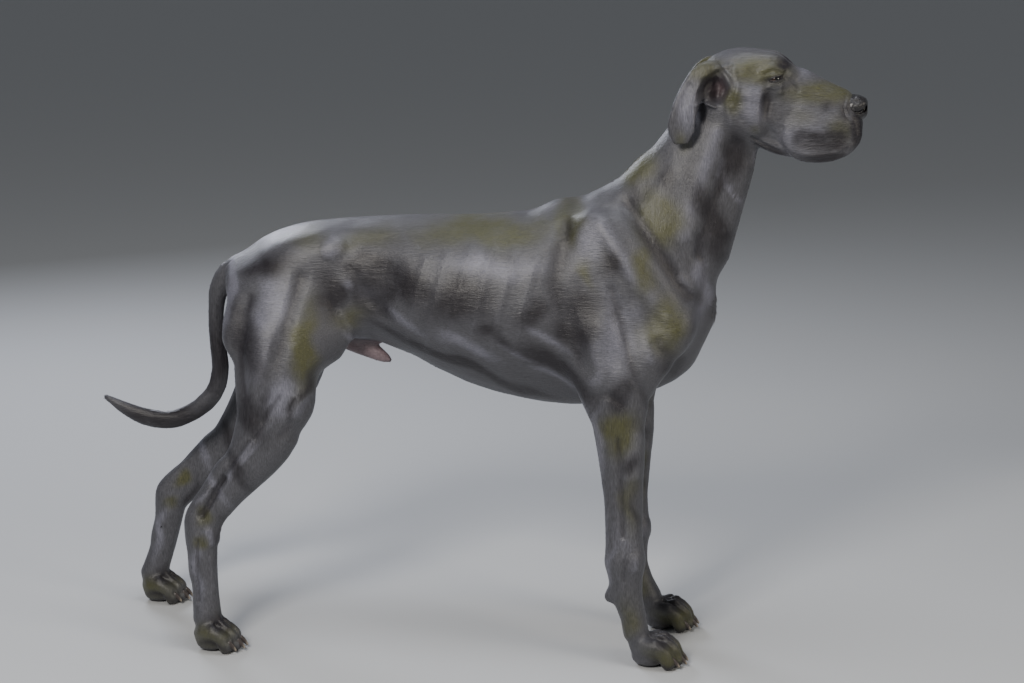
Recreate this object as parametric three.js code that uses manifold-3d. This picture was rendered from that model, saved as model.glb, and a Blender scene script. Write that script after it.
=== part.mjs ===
/*
 * A great dane standing square to be judged, at life size.
 * Millimetres. +X points to the nose, +Y to the dog's left, +Z up, and the floor is Z = 0.
 *
 * The animal is one smooth distance field: tapering tubes along the spine, neck, legs and tail,
 * with muscle, bone and lip forms blended into them. The field is meshed region by region, each
 * region at the fineness it needs, and the regions are parted by thin plane cuts.
 */
import * as THREE from 'three';
import Module from 'manifold-3d';
import { mergeVertices } from 'three/addons/utils/BufferGeometryUtils.js';
import { MeshoptSimplifier } from 'three/addons/libs/meshopt_simplifier.module.js';
import { triTable } from 'three/addons/objects/MarchingCubes.js';

// Driving sizes of the dog, measured in its stance
const GAP = 0.3;                 // clearance between touching pieces
const SPINE_Z = 690;             // height of the widest part of the chest
const KEEL_DROP = 210;           // from there down to the breastbone
const KEEL_NARROWING = 0.42;     // how much the chest narrows towards the breastbone
const SKULL = { x: 446, z: 1130, length: 176, width: 122, height: 120 };
const EYE = { x: 505, y: 44, z: 1134, radius: 13 };
const NOSE = { x: 658, z: 1081, length: 40, width: 44, height: 38 };
const FORE_FOOT = { right: [303, -139], left: [311, 88] };
const HIND_FOOT = { right: [-567, -168], left: [-762, 120] };
const FORE_PAW = { length: 108, width: 92, height: 58 };
const HIND_PAW = { length: 100, width: 84, height: 54 };
const CLAW = { length: 25, root: 5.6, tip: 1.4, hook: 4, slope: 30, height: 17.5 };

// Heights at which each leg is parted
const WRIST_CUT = 238;
const FORE_PAW_CUT = 92;
const HIND_PAW_CUT = 80;

const COAT = 0x77777f;
const LEATHER = 0x1d1c20;
const IRIS = 0x2a1c12;
const HORN = 0xb9aea0;

const wasm = await Module();
wasm.setup();
await MeshoptSimplifier.ready;

// Distance fields

const radians = THREE.MathUtils.degToRad;

/** Union of two distances with a fillet of about k. */
function softUnion(a, b, k) {
  const h = Math.max(k - Math.abs(a - b), 0) / k;
  return Math.min(a, b) - h * h * k * 0.25;
}

/** One field made of many, each blended into the last with the same fillet. */
function blend(k, ...fields) {
  return (x, y, z) => {
    let d = fields[0](x, y, z);
    for (let i = 1; i < fields.length; i += 1) d = softUnion(d, fields[i](x, y, z), k);
    return d;
  };
}

/** A field with another taken out of it, with a fillet of about k. */
function carve(k, body, ...tools) {
  return (x, y, z) => {
    let d = body(x, y, z);
    for (const tool of tools) d = -softUnion(-d, tool(x, y, z), k);
    return d;
  };
}

/** The same form on both sides of the body. */
function bothSides(field) {
  return (x, y, z) => field(x, Math.abs(y), z);
}

/** Distance to an ellipsoid, turned by pitch (nose down), yaw and roll in degrees. */
function ellipsoid(centre, radii, pitch = 0, yaw = 0, roll = 0) {
  const turn = new THREE.Euler(radians(roll), radians(pitch), radians(yaw), 'ZYX');
  const m = new THREE.Matrix4().makeRotationFromEuler(turn).transpose().elements;
  const reach = Math.max(...radii);
  const [cx, cy, cz] = centre;
  const [ra, rb, rc] = radii;
  return (x, y, z) => {
    const dx = x - cx;
    const dy = y - cy;
    const dz = z - cz;
    const far = Math.hypot(dx, dy, dz);
    if (far > reach + 140) return far - reach;
    const u = m[0] * dx + m[4] * dy + m[8] * dz;
    const v = m[1] * dx + m[5] * dy + m[9] * dz;
    const w = m[2] * dx + m[6] * dy + m[10] * dz;
    const k0 = Math.hypot(u / ra, v / rb, w / rc);
    const k1 = Math.hypot(u / (ra * ra), v / (rb * rb), w / (rc * rc));
    return k1 < 1e-9 ? -Math.min(...radii) : k0 * (k0 - 1) / k1;
  };
}

/**
 * Distance to a tube along a smooth line. A station is [x, y, z, depth, width]: its centre, its
 * half size across the line in the upright plane, and its half size sideways.
 */
function tube(stations, fineness = 3) {
  const centres = new THREE.CatmullRomCurve3(
    stations.map(([x, y, z]) => new THREE.Vector3(x, y, z)), false, 'catmullrom', 0.5);
  const sizes = new THREE.CatmullRomCurve3(
    stations.map((s) => new THREE.Vector3(s[3], s[4], 0)), false, 'catmullrom', 0.5);
  const count = (stations.length - 1) * fineness;
  const segments = [];
  const box = new THREE.Box3();
  for (let i = 0; i < count; i += 1) {
    const from = centres.getPoint(i / count);
    const to = centres.getPoint((i + 1) / count);
    const axis = to.clone().sub(from);
    const length = axis.length();
    axis.divideScalar(length);
    const side = new THREE.Vector3(0, 1, 0).addScaledVector(axis, -axis.y).normalize();
    const depth = new THREE.Vector3().crossVectors(axis, side);
    const sizeFrom = sizes.getPoint(i / count);
    const sizeTo = sizes.getPoint((i + 1) / count);
    segments.push({ from, axis, length, side, depth, sizeFrom, sizeTo });
    const reach = Math.max(sizeFrom.x, sizeFrom.y, sizeTo.x, sizeTo.y);
    box.expandByPoint(from.clone().addScalar(reach)).expandByPoint(from.clone().addScalar(-reach));
    box.expandByPoint(to.clone().addScalar(reach)).expandByPoint(to.clone().addScalar(-reach));
  }
  return (x, y, z) => {
    const out = Math.hypot(
      Math.max(box.min.x - x, x - box.max.x, 0),
      Math.max(box.min.y - y, y - box.max.y, 0),
      Math.max(box.min.z - z, z - box.max.z, 0));
    if (out > 90) return out;
    let best = Infinity;
    for (const s of segments) {
      const dx = x - s.from.x;
      const dy = y - s.from.y;
      const dz = z - s.from.z;
      const along = dx * s.axis.x + dy * s.axis.y + dz * s.axis.z;
      const held = Math.min(Math.max(along, 0), s.length);
      const t = held / s.length;
      const a = s.sizeFrom.x + (s.sizeTo.x - s.sizeFrom.x) * t;
      const b = s.sizeFrom.y + (s.sizeTo.y - s.sizeFrom.y) * t;
      const c = Math.min(a, b);
      const u = dx * s.depth.x + dy * s.depth.y + dz * s.depth.z;
      const v = dx * s.side.x + dy * s.side.y + dz * s.side.z;
      const w = along - held;
      const k0 = Math.hypot(u / a, v / b, w / c);
      const k1 = Math.hypot(u / (a * a), v / (b * b), w / (c * c));
      const d = k1 < 1e-9 ? -c : k0 * (k0 - 1) / k1;
      if (d < best) best = d;
    }
    return best;
  };
}

// The trunk, neck and tail

const trunkCore = tube([
  [300, 0, 686, 150, 88], [245, 0, 684, 176, 116], [150, 0, 690, 204, 132], [50, 0, 682, 192, 142],
  [-50, 0, 692, 172, 146], [-150, 0, 714, 146, 132], [-230, 0, 725, 132, 112],
  [-320, 0, 728, 122, 104], [-400, 0, 722, 117, 104], [-455, 0, 710, 108, 88], [-500, 0, 692, 92, 50],
]);

/** The ribcage narrows towards the breastbone like the keel of a boat. */
function trunk(x, y, z) {
  const down = Math.min(Math.max((SPINE_Z - z) / KEEL_DROP, 0), 1.3);
  return trunkCore(x, y * (1 + KEEL_NARROWING * down * down), z);
}

const withers = ellipsoid([178, 0, 848], [112, 44, 44], 16);
const breastbone = ellipsoid([366, 0, 686], [32, 32, 44], -20);
const croup = bothSides(ellipsoid([-405, 62, 778], [92, 46, 44], -14));
const seatBone = bothSides(ellipsoid([-520, 46, 715], [26, 30, 30]));
const sheathForm = tube([
  [-340, 0, 604, 22, 17], [-300, 0, 588, 21, 17], [-266, 0, 573, 17, 14], [-246, 0, 562, 9, 9],
]);
const scrotumForm = ellipsoid([-452, 0, 612], [27, 25, 36], -8);

const neck = tube([
  [262, 0, 755, 126, 104], [300, 0, 835, 128, 92], [330, 0, 898, 108, 78], [356, 0, 952, 96, 68],
  [380, 0, 1000, 86, 62], [406, 0, 1050, 74, 56], [428, 0, 1092, 58, 48],
]);
const throat = tube([[398, 0, 790, 20, 34], [428, 0, 880, 18, 30], [450, 0, 960, 18, 28]]);

const tail = tube([
  [-520, 0, 742, 34, 34], [-556, 0, 738, 30, 29], [-590, 0, 706, 22, 22], [-601, 0, 650, 17, 17],
  [-599, 0, 590, 18, 17], [-594, 0, 536, 19, 17], [-606, 0, 489, 20, 16], [-640, 0, 452, 20, 16],
  [-698, 0, 425, 20, 15], [-758, 0, 430, 20, 13], [-808, 0, 452, 14, 10], [-840, 0, 471, 7, 6],
]);

// Shoulders and forelegs, the right one a little wider set than the left

const shoulder = bothSides(blend(30,
  ellipsoid([238, 84, 768], [142, 36, 60], 50),
  ellipsoid([334, 90, 664], [36, 36, 44], 20),
  ellipsoid([262, 106, 590], [112, 40, 54], -44),
  ellipsoid([186, 110, 610], [62, 38, 92], 12)));

function foreleg(side, footX, footY, wristShift) {
  const topY = side * 112;
  const y = (z) => topY + (footY - topY) * THREE.MathUtils.clamp((560 - z) / 500, 0, 1);
  const row = (x, z, depth, width) => [x, y(z), z, depth, width];
  const limb = tube([
    row(228, 575, 60, 40), row(226, 515, 55, 40), row(224, 468, 50, 38), row(230, 410, 45, 35),
    row(234 + wristShift * 0.5, 343, 39, 31), row(237 + wristShift, 275, 36, 29),
    row(240 + wristShift, 222, 37, 31), row(241 + wristShift, 178, 34, 30),
    row(246 + wristShift, 136, 29, 27), row(256 + wristShift * 0.5, 100, 26, 27),
    row(footX - 40, 66, 26, 30),
  ]);
  const elbow = ellipsoid([178, topY, 508], [22, 22, 36], -20);
  const wristPad = ellipsoid([211 + wristShift, y(136), 136], [12, 11, 16], 20);
  const wristBone = ellipsoid([240 + wristShift, y(205), 205], [39, 33, 30]);
  return blend(14, limb, elbow, wristPad, wristBone);
}

// Hind legs, the left one set further back

function rightHindleg() {
  const limb = tube([
    [-432, -70, 715, 92, 56], [-436, -98, 640, 103, 66], [-443, -116, 570, 92, 62],
    [-450, -128, 505, 79, 53], [-458, -132, 466, 69, 46], [-474, -137, 422, 61, 41],
    [-498, -141, 382, 51, 37], [-522, -144, 350, 42, 32], [-556, -148, 306, 34, 27],
    [-584, -152, 266, 33, 26], [-594, -156, 230, 31, 25], [-594, -158, 196, 27, 22],
    [-593, -160, 155, 26, 21], [-591, -163, 108, 27, 22], [-588, -166, 66, 30, 27],
  ]);
  const kneecap = ellipsoid([-394, -128, 492], [30, 32, 46], 18);
  const flank = ellipsoid([-352, -84, 620], [46, 26, 62], 28);
  const tendon = tube([
    [-556, -146, 372, 10, 12], [-592, -150, 315, 10, 11], [-617, -153, 268, 13, 13],
    [-616, -155, 238, 12, 13], [-607, -158, 196, 12, 13], [-605, -160, 160, 13, 14],
  ]);
  return blend(28, limb, kneecap, flank, tendon);
}

function leftHindleg() {
  const limb = tube([
    [-432, 70, 715, 92, 56], [-446, 98, 640, 103, 66], [-470, 112, 570, 93, 62],
    [-500, 117, 510, 80, 53], [-524, 120, 470, 69, 46], [-556, 122, 422, 59, 41],
    [-584, 123, 386, 50, 36], [-618, 124, 344, 42, 32], [-672, 124, 284, 35, 27],
    [-712, 123, 250, 33, 26], [-738, 122, 222, 31, 25], [-744, 121, 190, 27, 22],
    [-755, 121, 147, 26, 21], [-770, 120, 100, 27, 22], [-784, 120, 60, 30, 27],
  ]);
  const kneecap = ellipsoid([-442, 118, 496], [30, 32, 46], 18);
  const flank = ellipsoid([-354, 84, 620], [46, 26, 62], 28);
  const tendon = tube([
    [-656, 124, 352, 10, 12], [-712, 123, 294, 10, 11], [-756, 122, 250, 13, 13],
    [-759, 121, 220, 12, 13], [-758, 121, 184, 12, 13], [-767, 121, 146, 13, 14],
  ]);
  return blend(28, limb, kneecap, flank, tendon);
}

// Paws: four arched toes, a heel pad and a palm

const TOES = [
  { across: -0.34, reach: -13, size: 0.94 }, { across: -0.12, reach: 0, size: 1 },
  { across: 0.12, reach: 1, size: 1 }, { across: 0.34, reach: -12, size: 0.94 },
];

function paw(footX, footY, size) {
  const front = footX + size.length * 0.5;
  const toes = TOES.map(({ across, reach, size: k }) => {
    const y = footY + across * size.width;
    const r = size.width * 0.178 * k;
    const x = front + reach;
    return tube([
      [x - 62, footY + across * size.width * 0.72, size.height * 0.76, r, r * 0.9],
      [x - 40, y, size.height * 0.82 * k, r, r * 0.94],
      [x - 22, y, size.height * 0.6 * k, r, r * 0.96], [x - 15, y, r * 0.9, r * 0.96, r * 0.94],
    ], 2);
  });
  const palm = ellipsoid([footX - 14, footY, size.height * 0.62],
    [size.length * 0.36, size.width * 0.4, size.height * 0.42]);
  const heelPad = ellipsoid([footX - size.length * 0.13, footY, 16],
    [size.length * 0.32, size.width * 0.36, 18]);
  return blend(6, blend(8, palm, heelPad), ...toes);
}

// The head

const cranium = ellipsoid([SKULL.x, 0, SKULL.z], [SKULL.length / 2, SKULL.width / 2, SKULL.height / 2]);
const brow = ellipsoid([500, 27, 1150], [36, 25, 30], 24);
const cheek = ellipsoid([450, 42, 1076], [56, 26, 48], 18);
const cheekBone = tube([[512, 48, 1112, 8, 7], [478, 58, 1106, 9, 8], [438, 60, 1108, 9, 8]]);
const bridge = tube([
  [500, 0, 1118, 50, 40], [548, 0, 1110, 43, 33], [590, 0, 1097, 35, 30], [630, 0, 1084, 30, 28],
  [650, 0, 1077, 26, 25],
]);
const muzzle = tube([[515, 0, 1072, 60, 41], [570, 0, 1058, 62, 41], [612, 0, 1050, 58, 39],
  [634, 0, 1048, 48, 33]]);
const flew = tube([
  [540, 25, 1026, 34, 20], [564, 25, 1020, 44, 22], [598, 24, 1017, 43, 23], [626, 20, 1024, 41, 22],
  [645, 14, 1036, 34, 19],
]);
const upperLipFront = ellipsoid([652, 0, 1046], [16, 24, 30]);
const lowerHead = tube([[430, 0, 1072, 52, 46], [480, 0, 1050, 44, 42], [530, 0, 1046, 40, 36],
  [575, 0, 1050, 38, 30]]);
const lids = blend(2,
  tube([[485, 53.5, 1131, 3, 3], [494, 57, 1138.5, 3.6, 3.6], [506, 58, 1142, 3.8, 3.8],
    [516, 54.5, 1141, 3.4, 3.4], [525, 47.5, 1136, 2.6, 2.6]], 2),
  tube([[485, 53.5, 1131, 3, 3], [495, 57.5, 1127, 3.5, 3.5], [507, 57.5, 1125.5, 3.5, 3.5],
    [517, 53, 1129.5, 3, 3], [525, 47.5, 1136, 2.6, 2.6]], 2));
const orbit = ellipsoid([506, 63, 1134], [20, 12, 12], -8, -14);
const eyeSlit = ellipsoid([505, 60, 1134], [16, 12, 6], -10, -14);
const hollowUnderEye = ellipsoid([500, 62, 1088], [12, 14, 26], 14);
const lipFold = tube([[470, 50, 1021, 3.2, 5], [496, 47, 1004, 3.4, 6], [526, 43, 989, 3.4, 7]], 2);
const philtrum = ellipsoid([670, 0, 1048], [9, 2.2, 20]);
const templeHollow = ellipsoid([474, 78, 1152], [32, 20, 16], -16);

const headForm = bothSides(carve(2,
  blend(3,
    carve(6,
      carve(14,
        blend(16, blend(22, cranium, bridge, lowerHead, cheek, brow), cheekBone, muzzle, flew,
          upperLipFront),
        templeHollow, hollowUnderEye),
      orbit),
    lids),
  eyeSlit, lipFold, philtrum));

const jawForm = tube([
  [478, 0, 1020, 20, 34], [520, 0, 1004, 20, 32], [560, 0, 997, 17, 27], [600, 0, 994, 15, 23],
  [636, 0, 1004, 13, 18],
]);

const noseForm = bothSides(carve(1.5,
  blend(7,
    ellipsoid([NOSE.x, 0, NOSE.z + 2], [NOSE.length / 2, NOSE.width * 0.36, NOSE.height * 0.46], 6),
    ellipsoid([NOSE.x + 2, 0, NOSE.z - 8], [15, NOSE.width * 0.28, 14]),
    ellipsoid([NOSE.x - 3, NOSE.width * 0.26, NOSE.z - 1], [16, NOSE.width * 0.23, 15])),
  ellipsoid([NOSE.x + 17, 10.5, NOSE.z], [9, 4.6, 5.2], 0, 0, 25),
  tube([[NOSE.x + 14, 14, NOSE.z - 3, 2.6, 2.6], [NOSE.x + 5, 20, NOSE.z - 6, 2.2, 2.6]], 1)));

// The ear lies back: its cup opens outwards and the flap hangs behind
const earForm = carve(3,
  blend(10,
    ellipsoid([396, 58, 1114], [35, 22, 37], 10),
    tube([[396, 58, 1154, 16, 11], [374, 70, 1142, 26, 9], [350, 80, 1106, 26, 7],
      [336, 85, 1067, 28, 6], [333, 84, 1038, 29, 5.5], [334, 80, 1013, 17, 5]])),
  ellipsoid([396, 80, 1112], [25, 21, 25], 12));

// The whole body in its stance

const foreRight = foreleg(-1, ...FORE_FOOT.right, 0);
const foreLeft = foreleg(1, ...FORE_FOOT.left, -8);
const hindRight = rightHindleg();
const hindLeft = leftHindleg();
const forePawRight = paw(...FORE_FOOT.right, FORE_PAW);
const forePawLeft = paw(...FORE_FOOT.left, FORE_PAW);
const hindPawRight = paw(...HIND_FOOT.right, HIND_PAW);
const hindPawLeft = paw(...HIND_FOOT.left, HIND_PAW);

const torsoForm = blend(34, blend(46, trunk, withers, neck), shoulder, breastbone, croup, throat);
const bodyForm = blend(26, torsoForm, seatBone, foreRight, foreLeft, hindRight, hindLeft);
const loinForm = blend(16, bodyForm, tail);
const neckForm = blend(24, bodyForm, headForm);
const forePawForms = { right: blend(9, foreRight, forePawRight), left: blend(9, foreLeft, forePawLeft) };
const hindPawForms = { right: blend(9, hindRight, hindPawRight), left: blend(9, hindLeft, hindPawLeft) };

// Meshing

const CORNERS = [[0, 0, 0], [1, 0, 0], [1, 1, 0], [0, 1, 0], [0, 0, 1], [1, 0, 1], [1, 1, 1], [0, 1, 1]];
const EDGES = [[0, 1], [1, 2], [3, 2], [0, 3], [4, 5], [5, 6], [7, 6], [4, 7], [0, 4], [1, 5], [2, 6], [3, 7]];

/** Marching cubes over a box, closed at the box's walls. */
function meshField(field, low, high, step) {
  const n = low.map((v, i) => Math.ceil((high[i] - v) / step) + 1);
  const index = (i, j, k) => (k * n[1] + j) * n[0] + i;
  const values = new Float32Array(n[0] * n[1] * n[2]);
  for (let k = 0; k < n[2]; k += 1) {
    for (let j = 0; j < n[1]; j += 1) {
      for (let i = 0; i < n[0]; i += 1) {
        const wall = i === 0 || j === 0 || k === 0 || i === n[0] - 1 || j === n[1] - 1 || k === n[2] - 1;
        const d = field(low[0] + i * step, low[1] + j * step, low[2] + k * step);
        values[index(i, j, k)] = wall ? Math.max(d, step * 0.5) : d;
      }
    }
  }
  const seen = new Int32Array(values.length * 3).fill(-1);
  const positions = [];
  const triangles = [];
  const vertexOn = (i, j, k, edge) => {
    const [a, b] = EDGES[edge].map((c) => CORNERS[c]);
    const axis = a.findIndex((v, q) => v !== b[q]);
    const from = index(i + a[0], j + a[1], k + a[2]);
    const key = from * 3 + axis;
    if (seen[key] < 0) {
      const to = index(i + b[0], j + b[1], k + b[2]);
      const t = THREE.MathUtils.clamp(values[from] / (values[from] - values[to]), 0.06, 0.94);
      const p = [i + a[0], j + a[1], k + a[2]];
      p[axis] += t;
      seen[key] = positions.length / 3;
      positions.push(...p.map((v, q) => low[q] + v * step));
    }
    return seen[key];
  };
  for (let k = 0; k < n[2] - 1; k += 1) {
    for (let j = 0; j < n[1] - 1; j += 1) {
      for (let i = 0; i < n[0] - 1; i += 1) {
        let cube = 0;
        CORNERS.forEach((c, bit) => {
          if (values[index(i + c[0], j + c[1], k + c[2])] < 0) cube |= 1 << bit;
        });
        if (cube === 0 || cube === 255) continue;
        for (let t = cube * 16; triTable[t] !== -1; t += 3) {
          triangles.push(vertexOn(i, j, k, triTable[t]), vertexOn(i, j, k, triTable[t + 1]),
            vertexOn(i, j, k, triTable[t + 2]));
        }
      }
    }
  }
  return { positions: new Float32Array(positions), triangles: new Uint32Array(triangles) };
}

/** Keeps only the vertices that the triangles use. */
function compact({ positions, triangles }) {
  const renumbered = new Map();
  const kept = [];
  const out = triangles.map((v) => {
    if (!renumbered.has(v)) {
      renumbered.set(v, renumbered.size);
      kept.push(positions[3 * v], positions[3 * v + 1], positions[3 * v + 2]);
    }
    return renumbered.get(v);
  });
  return { positions: new Float32Array(kept), triangles: out };
}

function signedVolume({ positions: p, triangles: t }) {
  let six = 0;
  const at = (v) => new THREE.Vector3(p[3 * v], p[3 * v + 1], p[3 * v + 2]);
  for (let i = 0; i < t.length; i += 3) six += at(t[i]).dot(at(t[i + 1]).cross(at(t[i + 2])));
  return six / 6;
}

function toSolid(mesh) {
  const triangles = mesh.triangles.slice();
  if (signedVolume(mesh) < 0) {
    for (let i = 0; i < triangles.length; i += 3) {
      [triangles[i + 1], triangles[i + 2]] = [triangles[i + 2], triangles[i + 1]];
    }
  }
  return new wasm.Manifold(new wasm.Mesh({
    numProp: 3, vertProperties: mesh.positions, triVerts: triangles,
  }));
}

function largest(solid) {
  return solid.decompose().reduce((a, b) => (b.volume() > a.volume() ? b : a));
}

/** Meshes a field in a box and thins it to about the given number of triangles. */
function solidOf(field, low, high, step, count) {
  const dense = meshField(field, low, high, step);
  const [triangles] = MeshoptSimplifier.simplify(
    dense.triangles, dense.positions, 3, Math.min(count * 3, dense.triangles.length), 0.05);
  return largest(toSolid(compact({ positions: dense.positions, triangles })));
}

/** The same closed mesh, moved out along its vertex normals. */
function grown(solid, distance) {
  const mesh = solid.getMesh();
  const geometry = new THREE.BufferGeometry();
  geometry.setAttribute('position', new THREE.BufferAttribute(Float32Array.from(mesh.vertProperties), 3));
  geometry.setIndex([...mesh.triVerts]);
  geometry.computeVertexNormals();
  const p = geometry.attributes.position.array;
  const normals = geometry.attributes.normal.array;
  for (let i = 0; i < p.length; i += 1) p[i] += normals[i] * distance;
  return toSolid({ positions: p, triangles: Uint32Array.from(mesh.triVerts) });
}

/** A closed three.js geometry as a solid. */
function solidFrom(geometry) {
  const bare = geometry.clone();
  bare.deleteAttribute('normal');
  bare.deleteAttribute('uv');
  const merged = mergeVertices(bare, 1e-4);
  return toSolid({
    positions: Float32Array.from(merged.attributes.position.array),
    triangles: Uint32Array.from(merged.index.array),
  });
}

// Parting planes. Each is a point and a direction, and the first named piece is on the direction's side

function plane(point, direction) {
  const normal = new THREE.Vector3(...direction).normalize();
  return { normal, offset: normal.dot(new THREE.Vector3(...point)) };
}

const above = (solid, { normal, offset }) => solid.trimByPlane(normal.toArray(), offset + GAP / 2);
const below = (solid, { normal, offset }) => (
  solid.trimByPlane(normal.clone().negate().toArray(), -offset + GAP / 2));

const CUTS = {
  headNeck: plane([400, 0, 1050], [0.54, 0, 0.84]),
  neckChest: plane([205, 0, 925], [0.593, 0, 0.805]),
  chestLoin: plane([-130, 0, 700], [1, 0, 0]),
  rumpThigh: plane([-300, 0, 575], [0.411, 0, 0.911]),
  tailRoot: plane([-572, 0, 725], [-0.95, 0, -0.31]),
  tailMiddle: plane([-597, 0, 560], [0, 0, -1]),
  tailEnd: plane([-668, 0, 436], [-0.94, 0, -0.34]),
  floor: { normal: new THREE.Vector3(0, 0, 1), offset: -GAP / 2 },
};
const middle = (side) => plane([0, 0, 0], [0, side, 0]);
const elbowCut = (side) => plane([0, side * 70, 470], [0, -side * 0.669, 0.743]);
const wristCut = plane([0, 0, WRIST_CUT], [0, 0, 1]);
const forePawCut = plane([0, 0, FORE_PAW_CUT], [0, 0, 1]);
const hindPawCut = plane([0, 0, HIND_PAW_CUT], [0, 0, 1]);
const KNEE_CUT = {
  right: plane([-466, 0, 445], [0.45, 0, 0.893]), left: plane([-545, 0, 447], [0.5, 0, 0.866]),
};
const HOCK_CUT = {
  right: plane([-572, 0, 286], [0.68, 0, 0.73]), left: plane([-702, 0, 262], [0.75, 0, 0.66]),
};

// Assembly

const dog = new THREE.Group();

function addPiece(name, solid, color, roughness = 0.75) {
  const mesh = largest(solid).getMesh();
  const geometry = new THREE.BufferGeometry();
  geometry.setAttribute('position', new THREE.BufferAttribute(Float32Array.from(mesh.vertProperties), 3));
  geometry.setIndex([...mesh.triVerts]);
  const piece = new THREE.Mesh(geometry, new THREE.MeshStandardMaterial({ color, roughness }));
  piece.name = name;
  dog.add(piece);
}

function buildHead() {
  const jaw = solidOf(jawForm, [440, -45, 965], [662, 45, 1055], 4, 340);
  const nose = solidOf(noseForm, [630, -32, 1050], [692, 32, 1112], 2.2, 460);
  const eyes = { right: -1, left: 1 };
  let head = solidOf(neckForm, [330, -90, 960], [690, 90, 1205], 3.1, 2300);
  head = head.subtract(grown(jaw, GAP)).subtract(grown(nose, GAP));
  for (const [side, sign] of Object.entries(eyes)) {
    const ball = new THREE.SphereGeometry(EYE.radius, 14, 10);
    ball.translate(EYE.x, sign * EYE.y, EYE.z);
    const eye = solidFrom(ball);
    head = head.subtract(grown(eye, GAP));
    addPiece(`eye_${side}`, eye, IRIS, 0.15);
  }
  head = largest(above(head, CUTS.headNeck));
  addPiece('head', head, COAT);
  addPiece('lower_jaw', jaw, COAT);
  addPiece('nose', nose, LEATHER, 0.35);
  const neckPiece = below(solidOf(neckForm, [180, -130, 730], [520, 130, 1130], 13, 620), CUTS.headNeck);
  addPiece('neck', above(neckPiece, CUTS.neckChest).subtract(grown(jaw, GAP)), COAT);
  const rooted = grown(head, GAP);
  for (const [side, sign] of Object.entries(eyes)) {
    const field = (x, y, z) => earForm(x, sign * y, z);
    const low = [285, sign > 0 ? 20 : -112, 985];
    const high = [450, sign > 0 ? 112 : -20, 1185];
    const ear = solidOf(field, low, high, 3.6, 560);
    addPiece(`ear_${side}`, ear.subtract(rooted).subtract(grown(neckPiece, GAP)), COAT);
  }
}

function buildTrunk() {
  const chest = solidOf(bodyForm, [-170, -200, 440], [440, 200, 960], 17, 1150);
  addPiece('chest', [elbowCut(-1), elbowCut(1), CUTS.chestLoin].reduce(above,
    below(chest, CUTS.neckChest)), COAT);
  const rear = solidOf(loinForm, [-640, -190, 520], [-90, 190, 900], 15, 1150);
  const rump = largest(below(above(below(rear, CUTS.chestLoin), CUTS.rumpThigh), CUTS.tailRoot));
  addPiece('loin_and_rump', rump, COAT);
  return rump;
}

/** Small soft forms under the belly, each set against the pieces that carry it. */
function buildUnderside(...carriers) {
  const rooted = carriers.map((solid) => grown(solid, GAP));
  const under = (field, low, high) => (
    rooted.reduce((piece, carrier) => piece.subtract(carrier), solidOf(field, low, high, 5, 130)));
  addPiece('sheath', under(sheathForm, [-370, -26, 540], [-228, 26, 640]), COAT);
  addPiece('scrotum', under(scrotumForm, [-490, -36, 566], [-414, 36, 660]), COAT);
}

function buildTail() {
  const whole = solidOf(blend(16, bodyForm, tail), [-860, -48, 395], [-540, 48, 790], 8, 520);
  const behind = above(whole, CUTS.tailRoot);
  addPiece('tail_root', below(behind, CUTS.tailMiddle), COAT);
  addPiece('tail_middle', below(above(behind, CUTS.tailMiddle), CUTS.tailEnd), COAT);
  addPiece('tail_end', above(above(behind, CUTS.tailMiddle), CUTS.tailEnd), COAT);
}

/** Short curved claws, rooted in the ends of the toes. */
function addClaws(prefix, footX, footY, size, pawSolid) {
  const rooted = grown(pawSolid, GAP);
  TOES.forEach(({ across, reach, size: k }, i) => {
    const cone = new THREE.CylinderGeometry(CLAW.root * k, CLAW.tip, CLAW.length, 6, 2);
    const p = cone.attributes.position;
    for (let v = 0; v < p.count; v += 1) {
      const t = 0.5 - p.getY(v) / CLAW.length;
      p.setX(v, p.getX(v) * 0.8);
      p.setZ(v, p.getZ(v) - CLAW.hook * t * t);
    }
    cone.rotateZ(radians(90));
    cone.rotateY(radians(CLAW.slope));
    cone.translate(footX + size.length * 0.5 + reach, footY + across * size.width, CLAW.height);
    addPiece(`${prefix}_claw_${i + 1}`, solidFrom(cone).subtract(rooted), HORN, 0.4);
  });
}

function buildForelegs() {
  for (const [side, sign] of [['right', -1], ['left', 1]]) {
    const [footX, footY] = FORE_FOOT[side];
    const y = sign * 112;
    const leg = solidOf(bodyForm, [120, y - 95, 60], [330, y + 95, 600], 11, 620);
    const armPart = below(above(leg, wristCut), elbowCut(sign));
    addPiece(`foreleg_${side}_forearm`, armPart, COAT);
    const form = forePawForms[side];
    const foot = solidOf(form, [185, footY - 70, -12], [380, footY + 70, 280], 5.2, 840);
    const grounded = above(foot, CUTS.floor);
    addPiece(`foreleg_${side}_wrist`, above(below(grounded, wristCut), forePawCut), COAT);
    const pawSolid = largest(below(grounded, forePawCut));
    addPiece(`foreleg_${side}_paw`, pawSolid, COAT);
    addClaws(`foreleg_${side}`, footX, footY, FORE_PAW, pawSolid);
  }
}

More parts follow.
